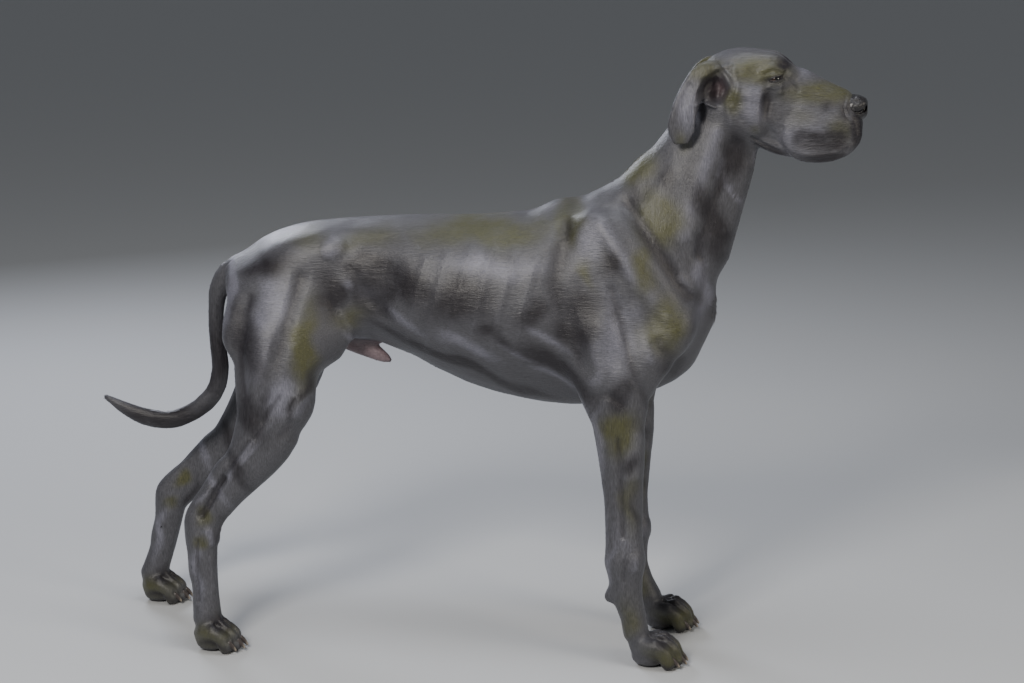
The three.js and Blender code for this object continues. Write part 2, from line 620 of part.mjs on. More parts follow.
function buildHindlegs() {
  const thighs = [];
  for (const [side, sign] of [['right', -1], ['left', 1]]) {
    const [footX, footY] = HIND_FOOT[side];
    const upper = solidOf(bodyForm, [-800, sign > 0 ? -20 : -215, 200], [-270, sign > 0 ? 215 : 20, 700],
      12, 1000);
    const half = above(below(upper, CUTS.rumpThigh), middle(sign));
    const thigh = largest(above(half, KNEE_CUT[side]));
    thighs.push(thigh);
    addPiece(`hindleg_${side}_thigh`, thigh, COAT);
    addPiece(`hindleg_${side}_gaskin`, above(below(half, KNEE_CUT[side]), HOCK_CUT[side]), COAT);
    const form = hindPawForms[side];
    const foot = solidOf(form, [footX - 110, footY - 65, -12], [footX + 90, footY + 65, 320], 5.2, 880);
    const grounded = above(foot, CUTS.floor);
    addPiece(`hindleg_${side}_hock`, above(below(grounded, HOCK_CUT[side]), hindPawCut), COAT);
    const pawSolid = largest(below(grounded, hindPawCut));
    addPiece(`hindleg_${side}_paw`, pawSolid, COAT);
    addClaws(`hindleg_${side}`, footX, footY, HIND_PAW, pawSolid);
  }
  return thighs;
}

buildHead();
const rump = buildTrunk();
buildTail();
buildForelegs();
buildUnderside(rump, ...buildHindlegs());

// The origin is on the floor, under the middle of the whole animal
const bounds = new THREE.Box3().setFromObject(dog);
const centre = bounds.getCenter(new THREE.Vector3());
dog.position.set(-centre.x, -centre.y, -bounds.min.z);
dog.updateMatrixWorld(true);

export default dog;
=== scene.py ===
"""A blue great dane at life size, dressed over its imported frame."""
import logging
import math
from collections.abc import Callable
from dataclasses import dataclass, field
from enum import Enum

import bpy
import numpy as np
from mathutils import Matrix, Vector


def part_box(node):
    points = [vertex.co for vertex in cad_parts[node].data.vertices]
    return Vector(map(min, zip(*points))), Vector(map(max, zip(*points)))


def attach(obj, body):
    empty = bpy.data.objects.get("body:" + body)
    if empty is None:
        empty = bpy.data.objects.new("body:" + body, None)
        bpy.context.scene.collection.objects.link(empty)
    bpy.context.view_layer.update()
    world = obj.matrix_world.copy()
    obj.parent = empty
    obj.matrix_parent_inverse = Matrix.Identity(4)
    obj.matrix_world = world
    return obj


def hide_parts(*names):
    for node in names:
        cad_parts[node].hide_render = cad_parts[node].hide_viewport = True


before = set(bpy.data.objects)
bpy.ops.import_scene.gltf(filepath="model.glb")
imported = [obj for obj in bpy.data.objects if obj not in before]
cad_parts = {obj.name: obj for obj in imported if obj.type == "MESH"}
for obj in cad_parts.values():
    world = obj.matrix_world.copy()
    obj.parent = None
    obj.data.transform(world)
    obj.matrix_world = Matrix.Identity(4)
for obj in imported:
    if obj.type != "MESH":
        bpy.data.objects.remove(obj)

logging.basicConfig(level=logging.INFO, format="%(relativeCreated)8d %(message)s")
log = logging.getLogger("dane")

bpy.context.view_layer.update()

# Sizes and places are in the dog's own stance: millimetres, X to the nose, Y to its left, floor at 0
EYE_STANCE = (505.0, 44.0, 1134.0)
EYE_RADIUS = 13.0
NOSE_STANCE = (658.0, 0.0, 1081.0)
FORE_FEET = ((303.0, -139.0), (311.0, 88.0))
HIND_FEET = ((-567.0, -168.0), (-762.0, 120.0))
FORE_PAW = (108.0, 92.0, 58.0)
HIND_PAW = (100.0, 84.0, 54.0)
# Each toe's place across the paw, as a share of its width, and its reach beyond the paw's front
TOES = ((-0.34, -13.0), (-0.12, 0.0), (0.12, 1.0), (0.34, -12.0))
# A point of the plane behind the skull, and the direction that the plane faces
HEAD_CUT = ((400.0, 1050.0), (0.54, 0.84))
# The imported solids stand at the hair's tips, so the skin lies this much lower
COAT_DEPTH = 0.9
VOXEL = 0.0021
SKIN_TRIANGLES = 158_000

MM = 0.001
GROUP_STEPS = 20


def corner_mean(node: str) -> np.ndarray:
    """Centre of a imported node's box, in metres."""
    low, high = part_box(node)
    return (np.array(low) + np.array(high)) * 0.5


ORIGIN = corner_mean("eye_right") - np.array([EYE_STANCE[0], -EYE_STANCE[1], EYE_STANCE[2]]) * MM


def to_frame(points: np.ndarray) -> np.ndarray:
    """Stance millimetres to frame metres."""
    return np.asarray(points, float) * MM + ORIGIN


def to_stance(points: np.ndarray) -> np.ndarray:
    """Frame metres to stance millimetres."""
    return (np.asarray(points, float) - ORIGIN) / MM


def linear(colour: str) -> tuple[float, float, float, float]:
    """An sRGB hex colour as linear RGBA."""
    parts = [int(colour[i:i + 2], 16) / 255 for i in (1, 3, 5)]
    return tuple(c / 12.92 if c <= 0.04045 else ((c + 0.055) / 1.055) ** 2.4 for c in parts) + (1.0,)


def smooth_step(low: float, high: float, value: np.ndarray) -> np.ndarray:
    """0 below low, 1 above high, and a smooth rise between."""
    t = np.clip((value - low) / (high - low), 0, 1)
    return t * t * (3 - 2 * t)


# Small Blender helpers


def only(obj: bpy.types.Object) -> bpy.types.Object:
    """Select one object and nothing else.

    Args:
        obj: the object.

    Returns:
        The same object.
    """
    bpy.ops.object.select_all(action="DESELECT")
    obj.select_set(True)
    bpy.context.view_layer.objects.active = obj
    return obj


def edit_all(obj: bpy.types.Object, operator: Callable, **settings: object) -> None:
    """Run one edit-mode operator on the whole of a mesh.

    Args:
        obj: the mesh object.
        operator: the operator to run.
        settings: the operator's own settings.
    """
    only(obj)
    bpy.ops.object.mode_set(mode="EDIT")
    bpy.ops.mesh.select_all(action="SELECT")
    operator(**settings)
    bpy.ops.object.mode_set(mode="OBJECT")


def copy_node(node: str) -> bpy.types.Object:
    """A free copy of a CAD node's mesh, with its shared corners merged.

    Args:
        node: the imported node's name.

    Returns:
        The copy, in an object of its own.
    """
    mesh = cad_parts[node].data.copy()
    mesh.materials.clear()
    obj = bpy.data.objects.new(f"{node}_flesh", mesh)
    bpy.context.scene.collection.objects.link(obj)
    edit_all(obj, bpy.ops.mesh.remove_doubles, threshold=1e-6)
    return obj


def apply_modifier(obj: bpy.types.Object, kind: str, **settings: object) -> None:
    """Add a modifier with its settings and apply it.

    Args:
        obj: the mesh object.
        kind: the modifier's type.
        settings: the modifier's own settings.
    """
    only(obj)
    modifier = obj.modifiers.new(kind.lower(), kind)
    for name, value in settings.items():
        setattr(modifier, name, value)
    bpy.ops.object.modifier_apply(modifier=modifier.name)


def read_values(items: bpy.types.bpy_prop_collection, name: str, width: int = 3) -> np.ndarray:
    """One property of every vertex or face.

    Args:
        items: the vertices or faces.
        name: the property.
        width: how many numbers each has.

    Returns:
        One row an item, or one number an item where width is 1.
    """
    flat = np.empty(len(items) * width, np.float32)
    items.foreach_get(name, flat)
    return (flat.reshape(-1, width) if width > 1 else flat).astype(float)


def read_points(obj: bpy.types.Object) -> np.ndarray:
    """All vertex places of a mesh, in metres."""
    return read_values(obj.data.vertices, "co")


def read_normals(obj: bpy.types.Object) -> np.ndarray:
    """All vertex normals of a mesh."""
    return read_values(obj.data.vertices, "normal")


def write_points(obj: bpy.types.Object, points: np.ndarray) -> None:
    """Set all vertex places of a mesh."""
    obj.data.vertices.foreach_set("co", points.astype(np.float32).ravel())
    obj.data.update()


def set_group(obj: bpy.types.Object, name: str, weights: np.ndarray) -> None:
    """A vertex group from one weight a vertex, in twenty steps.

    Args:
        obj: the mesh object.
        name: the group's name.
        weights: one weight a vertex, from 0 to 1.
    """
    group = obj.vertex_groups.get(name) or obj.vertex_groups.new(name=name)
    steps = np.round(weights * GROUP_STEPS).astype(int)
    for step in range(1, GROUP_STEPS + 1):
        chosen = np.nonzero(steps == step)[0]
        if len(chosen):
            group.add(chosen.tolist(), step / GROUP_STEPS, "REPLACE")


def set_colours(obj: bpy.types.Object, name: str, rgba: np.ndarray) -> None:
    """A colour attribute from one row of four a vertex."""
    attribute = obj.data.color_attributes.new(name, "FLOAT_COLOR", "POINT")
    attribute.data.foreach_set("color", rgba.astype(np.float32).ravel())


def set_values(obj: bpy.types.Object, name: str, values: np.ndarray) -> None:
    """A number attribute from one value a vertex."""
    attribute = obj.data.attributes.new(name, "FLOAT", "POINT")
    attribute.data.foreach_set("value", values.astype(np.float32))


def mark_coat(obj: bpy.types.Object, tone: np.ndarray, upright: np.ndarray) -> None:
    """Write the coat's tone, with its painted shade and painted highlight, and the lie of its hair on a mesh.

    Args:
        obj: the skin or the tufts.
        tone: olive cast, dark (mostly painted shade), pale painted highlight and bare skin, one row a vertex.
        upright: how far the hair lies up and down, one value a vertex.
    """
    ones = np.ones(len(tone))
    set_colours(obj, "tone", np.column_stack([tone[:, :3], ones]))
    set_colours(obj, "lie", np.column_stack([upright, tone[:, 3], np.zeros(len(tone)), ones]))


def dress(obj: bpy.types.Object, material: bpy.types.Material) -> None:
    """Give a finished piece its material and its body.

    Args:
        obj: the piece.
        material: its finish.
    """
    obj.data.materials.clear()
    obj.data.materials.append(material)
    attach(obj, "root")
    log.info("%s: %d vertices", obj.name, len(obj.data.vertices))


# Where on the dog a point is


@dataclass(frozen=True)
class Regions:
    """Soft masks over the body, worked out from stance places."""

    points: np.ndarray

    def head(self) -> np.ndarray:
        """Skull, muzzle and ears.

        Returns:
            One weight a point, from 0 to 1.
        """
        (x, z), (nx, nz) = HEAD_CUT
        ahead = (self.points[:, 0] - x) * nx + (self.points[:, 2] - z) * nz
        ear = (self.points[:, 2] > 985) & (np.abs(self.points[:, 1]) > 66) & (self.points[:, 0] < 400)
        return np.maximum(smooth_step(-14, 6, ahead), ear.astype(float))

    def ear_flap(self) -> np.ndarray:
        """The hanging part of each ear.

        Returns:
            One weight a point, from 0 to 1.
        """
        y = np.abs(self.points[:, 1])
        x, z = self.points[:, 0], self.points[:, 2]
        inside = (z > 985) & (y > 62) & (x < 392) & (x > 280)
        return inside * smooth_step(62, 70, y)

    def tail(self) -> np.ndarray:
        """The tail from its root on."""
        x, y = self.points[:, 0], np.abs(self.points[:, 1])
        return smooth_step(-545, -565, x) * (y < 46) * (self.points[:, 2] > 380)

    def legs(self) -> np.ndarray:
        """The four legs below elbow and knee.

        Returns:
            One weight a point, from 0 to 1.
        """
        x, z = self.points[:, 0], self.points[:, 2]
        fore = smooth_step(560, 500, z) * (x > -100)
        hind = smooth_step(600, 480, z) * (x < -200) * (1 - self.tail())
        return np.maximum(fore, hind)

    def paws(self) -> np.ndarray:
        """All that is near the floor."""
        return smooth_step(105, 80, self.points[:, 2])


def left_hind_shift(z: np.ndarray) -> np.ndarray:
    """How much further back the left hind leg stands than the right one, by height.

    Args:
        z: heights in mm.

    Returns:
        The shift along X at each height, in mm.
    """
    heights = [0, 60, 104, 150, 193, 226, 262, 300, 350, 422, 505, 570, 640, 700]
    shifts = [-196, -196, -179, -162, -150, -144, -128, -110, -95, -82, -50, -27, -10, 0]
    return np.interp(z, heights, shifts)


def level_hind(points: np.ndarray) -> np.ndarray:
    """Bring the left hind leg's places over the right one's, so one set of forms serves both.

    Args:
        points: stance places, one row a point.

    Returns:
        The places after the shift.
    """
    out = points.copy()
    left = (points[:, 1] > 30) & (points[:, 0] < -240) & (points[:, 2] < 700)
    out[left, 0] -= left_hind_shift(points[left, 2])
    return out


# Modelling strokes on the skin


class Side(Enum):
    """Which side of the body a stroke is on."""

    BOTH = 0
    RIGHT = -1
    LEFT = 1


@dataclass(frozen=True)
class Stroke:
    """A raised or sunk form along a line, given in side view or in space."""

    path: tuple
    radius: float
    depth: float
    low: float = 0.0
    high: float = 400.0
    side: Side = Side.BOTH
    way: tuple = ()

    def weight(self, points: np.ndarray) -> np.ndarray:
        """How much each point is moved, from 0 to 1.

        Args:
            points: stance places, one row a point.

        Returns:
            One weight a point.
        """
        y = np.abs(points[:, 1])
        flat = len(self.path[0]) == 2
        here = (y >= self.low) & (y <= self.high)
        if self.side is not Side.BOTH:
            here &= np.sign(points[:, 1]) == self.side.value
        line = np.array(self.path, float)
        lows, highs = line.min(axis=0) - self.radius, line.max(axis=0) + self.radius
        place = points[:, (0, 2)] if flat else points
        if not flat and self.side is Side.BOTH and line[:, 1].min() > 0:
            place = np.column_stack([points[:, 0], y, points[:, 2]])
        here &= np.all((place > lows) & (place < highs), axis=1)
        chosen = np.nonzero(here)[0]
        out = np.zeros(len(points))
        if not len(chosen):
            return out
        near = np.full(len(chosen), np.inf)
        spots = place[chosen]
        pairs = list(zip(line[:-1], line[1:])) or [(line[0], line[0])]
        for a, b in pairs:
            span = b - a
            t = np.clip(((spots - a) @ span) / max(span @ span, 1e-9), 0, 1)
            near = np.minimum(near, np.linalg.norm(spots - (a + t[:, None] * span), axis=1))
        fade = np.clip(1 - (near / self.radius) ** 2, 0, 1) ** 2
        edge = smooth_step(self.low, self.low + 12, y[chosen]) if self.low > 0 else 1.0
        soft = min(12.0, (self.high - self.low) / 3)
        out[chosen] = fade * edge * (1 - smooth_step(self.high - soft, self.high, y[chosen]))
        return out


# The first four move the withers, nape, seat of the thigh and front of the knee a set way
BODY_STROKES = (
    Stroke(((50, 905), (112, 912)), 62, -9.0, 0, 90, way=(0, 0, 1)),
    Stroke(((196, 925), (236, 962)), 58, 11.0, 0, 70, way=(-0.6, 0, 0.8)),
    Stroke(((-534, 748), (-532, 690), (-530, 625)), 58, 23.0, 22, 150, way=(-1, 0, 0)),
    Stroke(((-350, 545), (-362, 492), (-382, 452)), 46, -12.0, 50, 220, way=(1, 0, 0)),
    Stroke(((185, 862), (250, 765), (315, 690)), 24, 4.0, 40),
    Stroke(((232, 895), (300, 800), (352, 722)), 22, -5.5, 40),
    Stroke(((118, 850), (100, 750), (128, 660), (165, 585)), 30, -4.6, 55),
    Stroke(((190, 660), (176, 575)), 40, 4.5, 70),
    Stroke(((208, 740), (236, 640), (262, 560), (280, 520)), 16, -3.4, 70),
    Stroke(((255, 700), (285, 610)), 24, 3.0, 60),
    Stroke(((168, 530), (205, 540), (235, 520)), 12, -3.4, 60),
    Stroke(((300, 640), (330, 600)), 22, -3.6, 40),
    Stroke(((367, 837), (380, 770), (372, 709)), 12, -3.0, 24),
    Stroke(((-235, 742), (-260, 715)), 66, -9.0, 40),
    Stroke(((-300, 760), (-270, 700), (-225, 668)), 18, -3.0, 60),
    Stroke(((-110, 832), (-220, 828), (-330, 820)), 24, 2.2, 24, 78),
    Stroke(((-335, 806), (-342, 800)), 28, 6.5, 40),
    Stroke(((-322, 668), (-300, 622), (-268, 598)), 16, 5.0, 40),
    Stroke(((-340, 700), (-318, 650), (-290, 618)), 10, -3.0, 50),
    Stroke(((-495, 705), (-512, 610), (-502, 520)), 16, -4.4, 60),
    Stroke(((-398, 745), (-418, 650), (-452, 545), (-470, 480)), 22, -4.2, 60),
    Stroke(((-462, 640), (-468, 560)), 44, 4.5, 80),
    Stroke(((-380, 520), (-402, 478)), 20, 3.4, 80),
    Stroke(((-405, 470), (-432, 440)), 14, -3.0, 90),
    Stroke(((-446, 470), (-500, 400), (-548, 330)), 14, 2.6, 100),
    Stroke(((-430, 520), (-486, 440), (-540, 370), (-570, 330)), 11, -2.8, 100),
    Stroke(((-546, 352), (-574, 308), (-592, 278)), 13, -8.5, 100),
    Stroke(((-468, 430), (-520, 372), (-560, 326)), 6, 2.2, 120),
    Stroke(((-600, 228), (-602, 160), (-600, 104)), 7, -3.2, 100),
    Stroke(((-578, 244), (-572, 222)), 15, 4.0, 100),
    Stroke(((-582, 310), (-590, 290)), 12, 3.4, 100),
    Stroke(((-486, 430), (-530, 372), (-580, 322), (-604, 300)), 8, 3.2, 100),
    Stroke(((-550, 270), (-560, 250)), 10, -2.4, 100),
    Stroke(((-575, 190), (-572, 110)), 7, 1.8, 100),
    Stroke(((258, 452), (252, 385)), 28, 4.0, 50),
    Stroke(((226, 452), (234, 350), (238, 262)), 10, -3.6, 60),
    Stroke(((262, 218), (262, 200)), 15, 3.4, 50),
    Stroke(((243, 214), (241, 178)), 9, -2.8, 50),
    Stroke(((206, 310), (207, 225)), 8, 2.6, 50),
    Stroke(((430, 1008), (398, 905), (372, 800)), 18, -5.5, 22),
    Stroke(((398, 1030), (366, 930), (342, 840)), 26, 4.2, 30),
    Stroke(((472, 992), (446, 925), (424, 850), (404, 780)), 10, 3.4, 0, 22),
    Stroke(((300, 985), (262, 915)), 20, -2.0, 24),
    Stroke(((338, 760), (362, 735)), 10, 2.4, 30),
)
RIB_TOPS = ((64, 800), (22, 806), (-22, 808), (-66, 806), (-110, 800), (-152, 790))
RIB_DROP = (-44, -190)

HEAD_STROKES = (
    Stroke(((494, 1110), (489, 1085), (490, 1050), (500, 1028)), 15, -4.2, 28),
    Stroke(((462, 1092), (455, 1050)), 36, 2.5, 34),
    Stroke(((505, 1172), (450, 1178), (392, 1164)), 12, 1.8, 16, 52),
    Stroke(((521, 1164), (530, 1156)), 15, -2.6, 12),
    Stroke(((480, 1150), (500, 1158), (520, 1152)), 9, 1.8, 30),
    Stroke(((488, 1144), (502, 1150), (518, 1147)), 4.5, -1.3, 34),
    Stroke(((489, 1121), (504, 1117), (520, 1122)), 5.5, 1.6, 34),
    Stroke(((486, 1114), (504, 1110), (522, 1115)), 5, -1.4, 34),
    Stroke(((524, 1137), (536, 1128), (548, 1112)), 6, -1.6, 20),
    Stroke(((545, 1118), (590, 1094), (630, 1076)), 12, -1.8, 20),
    Stroke(((560, 1075), (600, 1060), (636, 1052)), 26, 2.2, 26),
    Stroke(((560, 1020), (600, 1016), (632, 1022)), 36, -5.5, 26),
    Stroke(((646, 1062), (660, 1050), (664, 1030)), 14, 2.6, 8),
    Stroke(((640, 1104), (634, 1084), (640, 1062), (650, 1048)), 5, -2.2, 8),
    Stroke(((642, 1000), (620, 985), (592, 979), (562, 982), (540, 992)), 5, -1.6, 8),
    Stroke(((646, 1008), (620, 994), (592, 988), (562, 990)), 6, 1.4, 20),
    Stroke(((463, 1024), (480, 1012), (504, 1000), (532, 989)), 3.6, -3.0, 20),
    Stroke(((466, 1016), (484, 1004), (508, 993), (528, 985)), 3.4, 2.2, 14),
    Stroke(((470, 1009), (486, 998), (508, 988)), 3.4, -2.2, 14),
    Stroke(((520, 1040), (512, 1012), (528, 994)), 8, -2.2, 28),
    Stroke(((470, 1182), (520, 1176), (556, 1146)), 9, -2.0, 0, 14),
    Stroke(((444, 1060), (470, 1038)), 10, -1.6, 36),
    Stroke(((420, 1080), (424, 1050)), 12, 2.0, 30),
)
WHISKER_ROWS = tuple((602 + 11 * i, 1058 - 12 * j - 3 * i) for j in range(4) for i in range(5))

# Nostrils, the slits behind them, and the middle groove; flatter top and front
NOSE_STROKES = (
    Stroke(((676, 9, 1077), (677, 13, 1074)), 7, -6.0),
    Stroke(((671, 16, 1072), (663, 23, 1070), (654, 27, 1071)), 3.6, -3.4),
    Stroke(((684, 0, 1088), (685, 0, 1070), (680, 0, 1058), (672, 0, 1050)), 3.2, -1.8),
    Stroke(((686, 0, 1080),), 20, -2.6),
    Stroke(((664, 0, 1104),), 16, -2.0),
    Stroke(((660, 17, 1098), (673, 14, 1093)), 12, 2.6),
    Stroke(((673, 20, 1086), (660, 27, 1084)), 10, 2.6),
    Stroke(((668, 14, 1062), (658, 18, 1062)), 8, 1.6),
)

# The ear's opening, its curled front edge and the folds inside it
EAR_STROKES = (
    Stroke(((396, 1132), (404, 1112), (398, 1098)), 25, -23.0, 34, way=(0, 1, 0)),
    Stroke(((378, 1128), (372, 1108), (374, 1094)), 13, -15.0, 34, way=(0, 1, 0)),
    Stroke(((372, 1080), (366, 1056)), 9, -4.0, 34, way=(0, 1, 0)),
    Stroke(((422, 1160), (402, 1156), (380, 1140), (362, 1114), (355, 1088), (357, 1050)), 6.5, 4.0, 40,
           way=(0, 1, 0)),
    Stroke(((362, 1086), (378, 1089), (394, 1081)), 6, 5.0, 34, way=(0, 1, 0)),
    Stroke(((398, 1140), (408, 1122), (404, 1104)), 5.5, 4.5, 30, way=(0, 1, 0)),
    Stroke(((412, 1128), (418, 1110), (412, 1094)), 5, 3.0, 30, way=(0, 1, 0)),
    Stroke(((352, 1150), (326, 1100), (312, 1050), (322, 1008)), 8, 1.6, 62),
    Stroke(((344, 1120), (334, 1080), (334, 1040)), 13, -1.8, 72),
    Stroke(((428, 1150), (436, 1118), (428, 1084)), 10, 2.2, 40),
)


def rib_strokes() -> tuple[Stroke, ...]:
    """The ribs that show behind the shoulder."""
    return tuple(Stroke(((x, z), (x + RIB_DROP[0], z + RIB_DROP[1])), 11, 1.9, 70) for x, z in RIB_TOPS)


def paw_strokes() -> list[Stroke]:
    """Grooves between the toes and the creases at their knuckles, for all four feet.

    Returns:
        The strokes, given in space.
    """
    out = []
    feet = [(f, FORE_PAW) for f in FORE_FEET] + [(f, HIND_PAW) for f in HIND_FEET]
    for (fx, fy), (length, width, height) in feet:
        side = Side.RIGHT if fy < 0 else Side.LEFT
        front = fx + length * 0.5
        for (a, ra), (b, rb) in zip(TOES[:-1], TOES[1:]):
            y = fy + (a + b) * 0.5 * width
            reach = front + (ra + rb) * 0.5
            line = ((reach - 66, y * 0.3 + fy * 0.7, height * 1.02), (reach - 40, y, height * 1.05),
                    (reach - 16, y, height * 0.78), (reach - 2, y, height * 0.4), (reach - 4, y, 8))
            out.append(Stroke(line, 7.5, -6.4, side=side))
        for a, reach in TOES:
            y = fy + a * width
            out.append(Stroke(((front + reach - 40, y, height * 1.06),), 14, 3.4, side=side))
            out.append(Stroke(((front + reach - 22, y, height * 0.84),), 10, -2.0, side=side))
            out.append(Stroke(((front + reach - 8, y - 7, 26), (front + reach - 5, y, 29),
                               (front + reach - 8, y + 7, 26)), 5, -2.0, side=side))
    return out


@dataclass(frozen=True)
class Lids:
    """The lids of one eye: an almond slit over the globe, its front corner the higher."""

    side: int
    outward: tuple = (0.30, 0.95, 0.05)
    tilt: float = 15.0
    half_length: float = 13.2
    upper: float = 3.3
    lower: float = 3.0
    thickness: float = 2.1
    seat: float = 10.8

    def centre(self) -> np.ndarray:
        """Middle of the globe."""
        return np.array(EYE_STANCE) * (1, self.side, 1)

    def room(self, points: np.ndarray) -> tuple[np.ndarray, np.ndarray, np.ndarray]:
        """How far each point's direction is inside the opening.

        Args:
            points: stance places.

        Returns:
            Room inside the slit in mm, below 0 outside it; distance from the globe's middle; outwardness.
        """
        ahead = np.array(self.outward) * (1, self.side, 1)
        ahead = ahead / np.linalg.norm(ahead)
        up = np.array([0, 0, 1.0]) - ahead * ahead[2]
        up /= np.linalg.norm(up)
        along = -self.side * np.cross(up, ahead)
        c, s = math.cos(math.radians(self.tilt)), math.sin(math.radians(self.tilt))
        along, up = along * c + up * s, up * c - along * s
        from_middle = points - self.centre()
        distance = np.maximum(np.linalg.norm(from_middle, axis=1), 1e-6)
        way = from_middle / distance[:, None]
        across = np.arctan2(way @ along, way @ ahead) * EYE_RADIUS
        height = np.arcsin(np.clip(way @ up, -1, 1)) * EYE_RADIUS
        share = np.abs(across) / self.half_length
        arch = np.clip(1 - share ** 2, 0, 1) ** 0.72
        room = np.minimum(self.upper * arch - height, height + self.lower * arch)
        beyond = -np.hypot(height, (share - 1) * self.half_length)
        return np.where(share > 1, beyond, room), distance, way @ ahead

    def shape(self, points: np.ndarray) -> np.ndarray:
        """Press the opening into the skin and round the lids over the globe.

        Args:
            points: stance places of the skin.

        Returns:
            The places after shaping.
        """
        room, distance, facing = self.room(points)
        here = (distance < 27) & (facing > 0.1)
        margin = EYE_RADIUS + self.thickness
        lid = smooth_step(-7.0, -1.2, room)
        outer = distance + (margin - distance) * lid
        crease = np.exp(-((room + 5.2) / 1.0) ** 2) * 0.9
        open_share = smooth_step(-0.5, 0.5, room)
        new = (outer - crease) * (1 - open_share) + self.seat * open_share
        scale = np.where(here, new / distance, 1.0)
        return self.centre() + (points - self.centre()) * scale[:, None]


@dataclass(frozen=True)
class NoseSeat:
    """The hollow in the muzzle's end that holds the nose leather."""

    centre: tuple = (662.0, 0.0, 1080.0)
    radii: tuple = (31.0, 28.0, 27.0)
    inner: float = 0.7
    outer: float = 1.22

    def shape(self, points: np.ndarray) -> np.ndarray:
        """Draw the skin back behind the leather.

        Args:
            points: stance places of the skin.

        Returns:
            The places after shaping.
        """
        offset = (points - np.array(self.centre)) / np.array(self.radii)
        distance = np.maximum(np.linalg.norm(offset, axis=1), 1e-6)
        slope = (self.outer - self.inner) / (self.outer - 1)
        new = np.where(distance < 1, distance * self.inner, self.inner + (distance - 1) * slope)
        scale = np.where(distance < self.outer, new / distance, 1.0)
        return np.array(self.centre) + (points - np.array(self.centre)) * scale[:, None]


# Painted light and coat marks shared by the skin and the tufts


@dataclass(frozen=True)
class Patch:
    """A soft-edged patch of tone in side view: centre, half sizes, strength and lean."""

    x: float
    z: float
    half_x: float
    half_z: float
    strength: float = 1.0
    lean: float = 0.0
    low: float = 0.0

    def amount(self, x: np.ndarray, y: np.ndarray, z: np.ndarray) -> np.ndarray:
        """Strength of the patch at each point.

        Args:
            x: places along the dog.
            y: distances from its middle.
            z: heights.

        Returns:
            One strength a point.
        """
        c, s = math.cos(math.radians(self.lean)), math.sin(math.radians(self.lean))
        u = ((x - self.x) * c + (z - self.z) * s) / self.half_x
        v = (-(x - self.x) * s + (z - self.z) * c) / self.half_z
        return self.strength * np.exp(-0.9 * (u * u + v * v)) * (y >= self.low)


# Painted light: an olive colour cast where the blue coat turns olive under warm light
OLIVE_LIGHT_CAST = tuple(Patch(*row) for row in (
    (-45, 838, 140, 30, 1.1), (-265, 818, 74, 24, 0.7), (114, 857, 30, 48, 1.2),
    (289, 867, 48, 54, 1.2), (272, 769, 24, 54, 0.9), (311, 671, 40, 54, 1.2),
    (162, 775, 15, 30, 0.8), (230, 462, 40, 46, 1.1), (251, 325, 20, 78, 0.7),
    (-384, 612, 24, 96, 1.1, -6), (-303, 671, 48, 28, 0.7), (-388, 815, 60, 24, 0.6),
    (477, 1150, 60, 28, 1.1), (430, 1092, 18, 26, 1.1), (590, 1106, 70, 22, 1.1),
    (630, 1040, 34, 32, 0.6), (376, 1152, 34, 22), (331, 1020, 16, 26, 0.6),
    (255, 961, 36, 44), (350, 30, 60, 30), (-575, 26, 60, 30, 0.9),
    (-545, 40, 30, 60, 0.7), (556, 1060, 40, 30, 0.5), (-592, 268, 18, 18, 1.1),
    (-596, 218, 18, 16, 1.1), (246, 90, 26, 60, 0.7), (470, 1040, 14, 14, 0.5),
))
# Painted shade, darker slate on the flank, ribs, behind the elbow, throat and belly line; darker too on the
# lips and round the eye
PAINTED_SHADE_AND_DARK = tuple(Patch(*row) for row in (
    (-268, 769, 62, 27, 1.1), (-180, 740, 60, 40, 1.05), (-88, 712, 74, 46, 1.1),
    (-25, 658, 28, 26, 0.8), (55, 688, 36, 34, 0.85), (146, 677, 48, 66, 1.15),
    (104, 579, 92, 24, 1.2, -36), (10, 640, 50, 14, 0.8, -34), (-472, 768, 74, 26, 0.9),
    (-498, 630, 40, 88, 0.9, 20), (-345, 720, 34, 56, 1.05), (-77, 573, 196, 13, 1.3, -24),
    (214, 792, 22, 30, 0.9), (224, 534, 24, 34, 1.1), (392, 860, 24, 110, 1.1, 20),
    (430, 985, 30, 60, 1.0), (311, 945, 22, 28, 0.8), (250, 906, 20, 24, 0.7),
    (114, 880, 28, 20, 0.6), (-485, 481, 30, 60, 1.0, 24), (-392, 514, 9, 64, 0.9, -20),
    (318, 579, 22, 44, 0.8), (-700, 430, 140, 44, 1.1), (-600, 560, 30, 110, 0.9),
    (-440, 610, 22, 50, 0.5), (-520, 380, 14, 70, 0.8, 40), (-560, 230, 12, 60, 0.7),
    (244, 398, 20, 22, 0.8), (262, 300, 10, 60, 0.6), (-560, 60, 36, 22, 0.9),
    (320, 62, 34, 20, 0.8), (340, 14, 60, 9, 0.8), (-560, 14, 60, 9, 0.8),
    (521, 1163, 16, 13, 1.1), (494, 1086, 12, 32, 1.1), (662, 1040, 16, 44, 1.1),
    (612, 984, 54, 11, 1.2), (505, 1135, 25, 9, 0.9, 12), (503, 996, 40, 8, 1.2, -26),
    (604, 1084, 14, 14, 0.7), (622, 1008, 34, 12, 0.8), (392, 1116, 24, 24, 1.2, 0, 36),
    (370, 1072, 10, 22, 1.0, 0, 30), (640, 1072, 12, 26, 0.8),
))
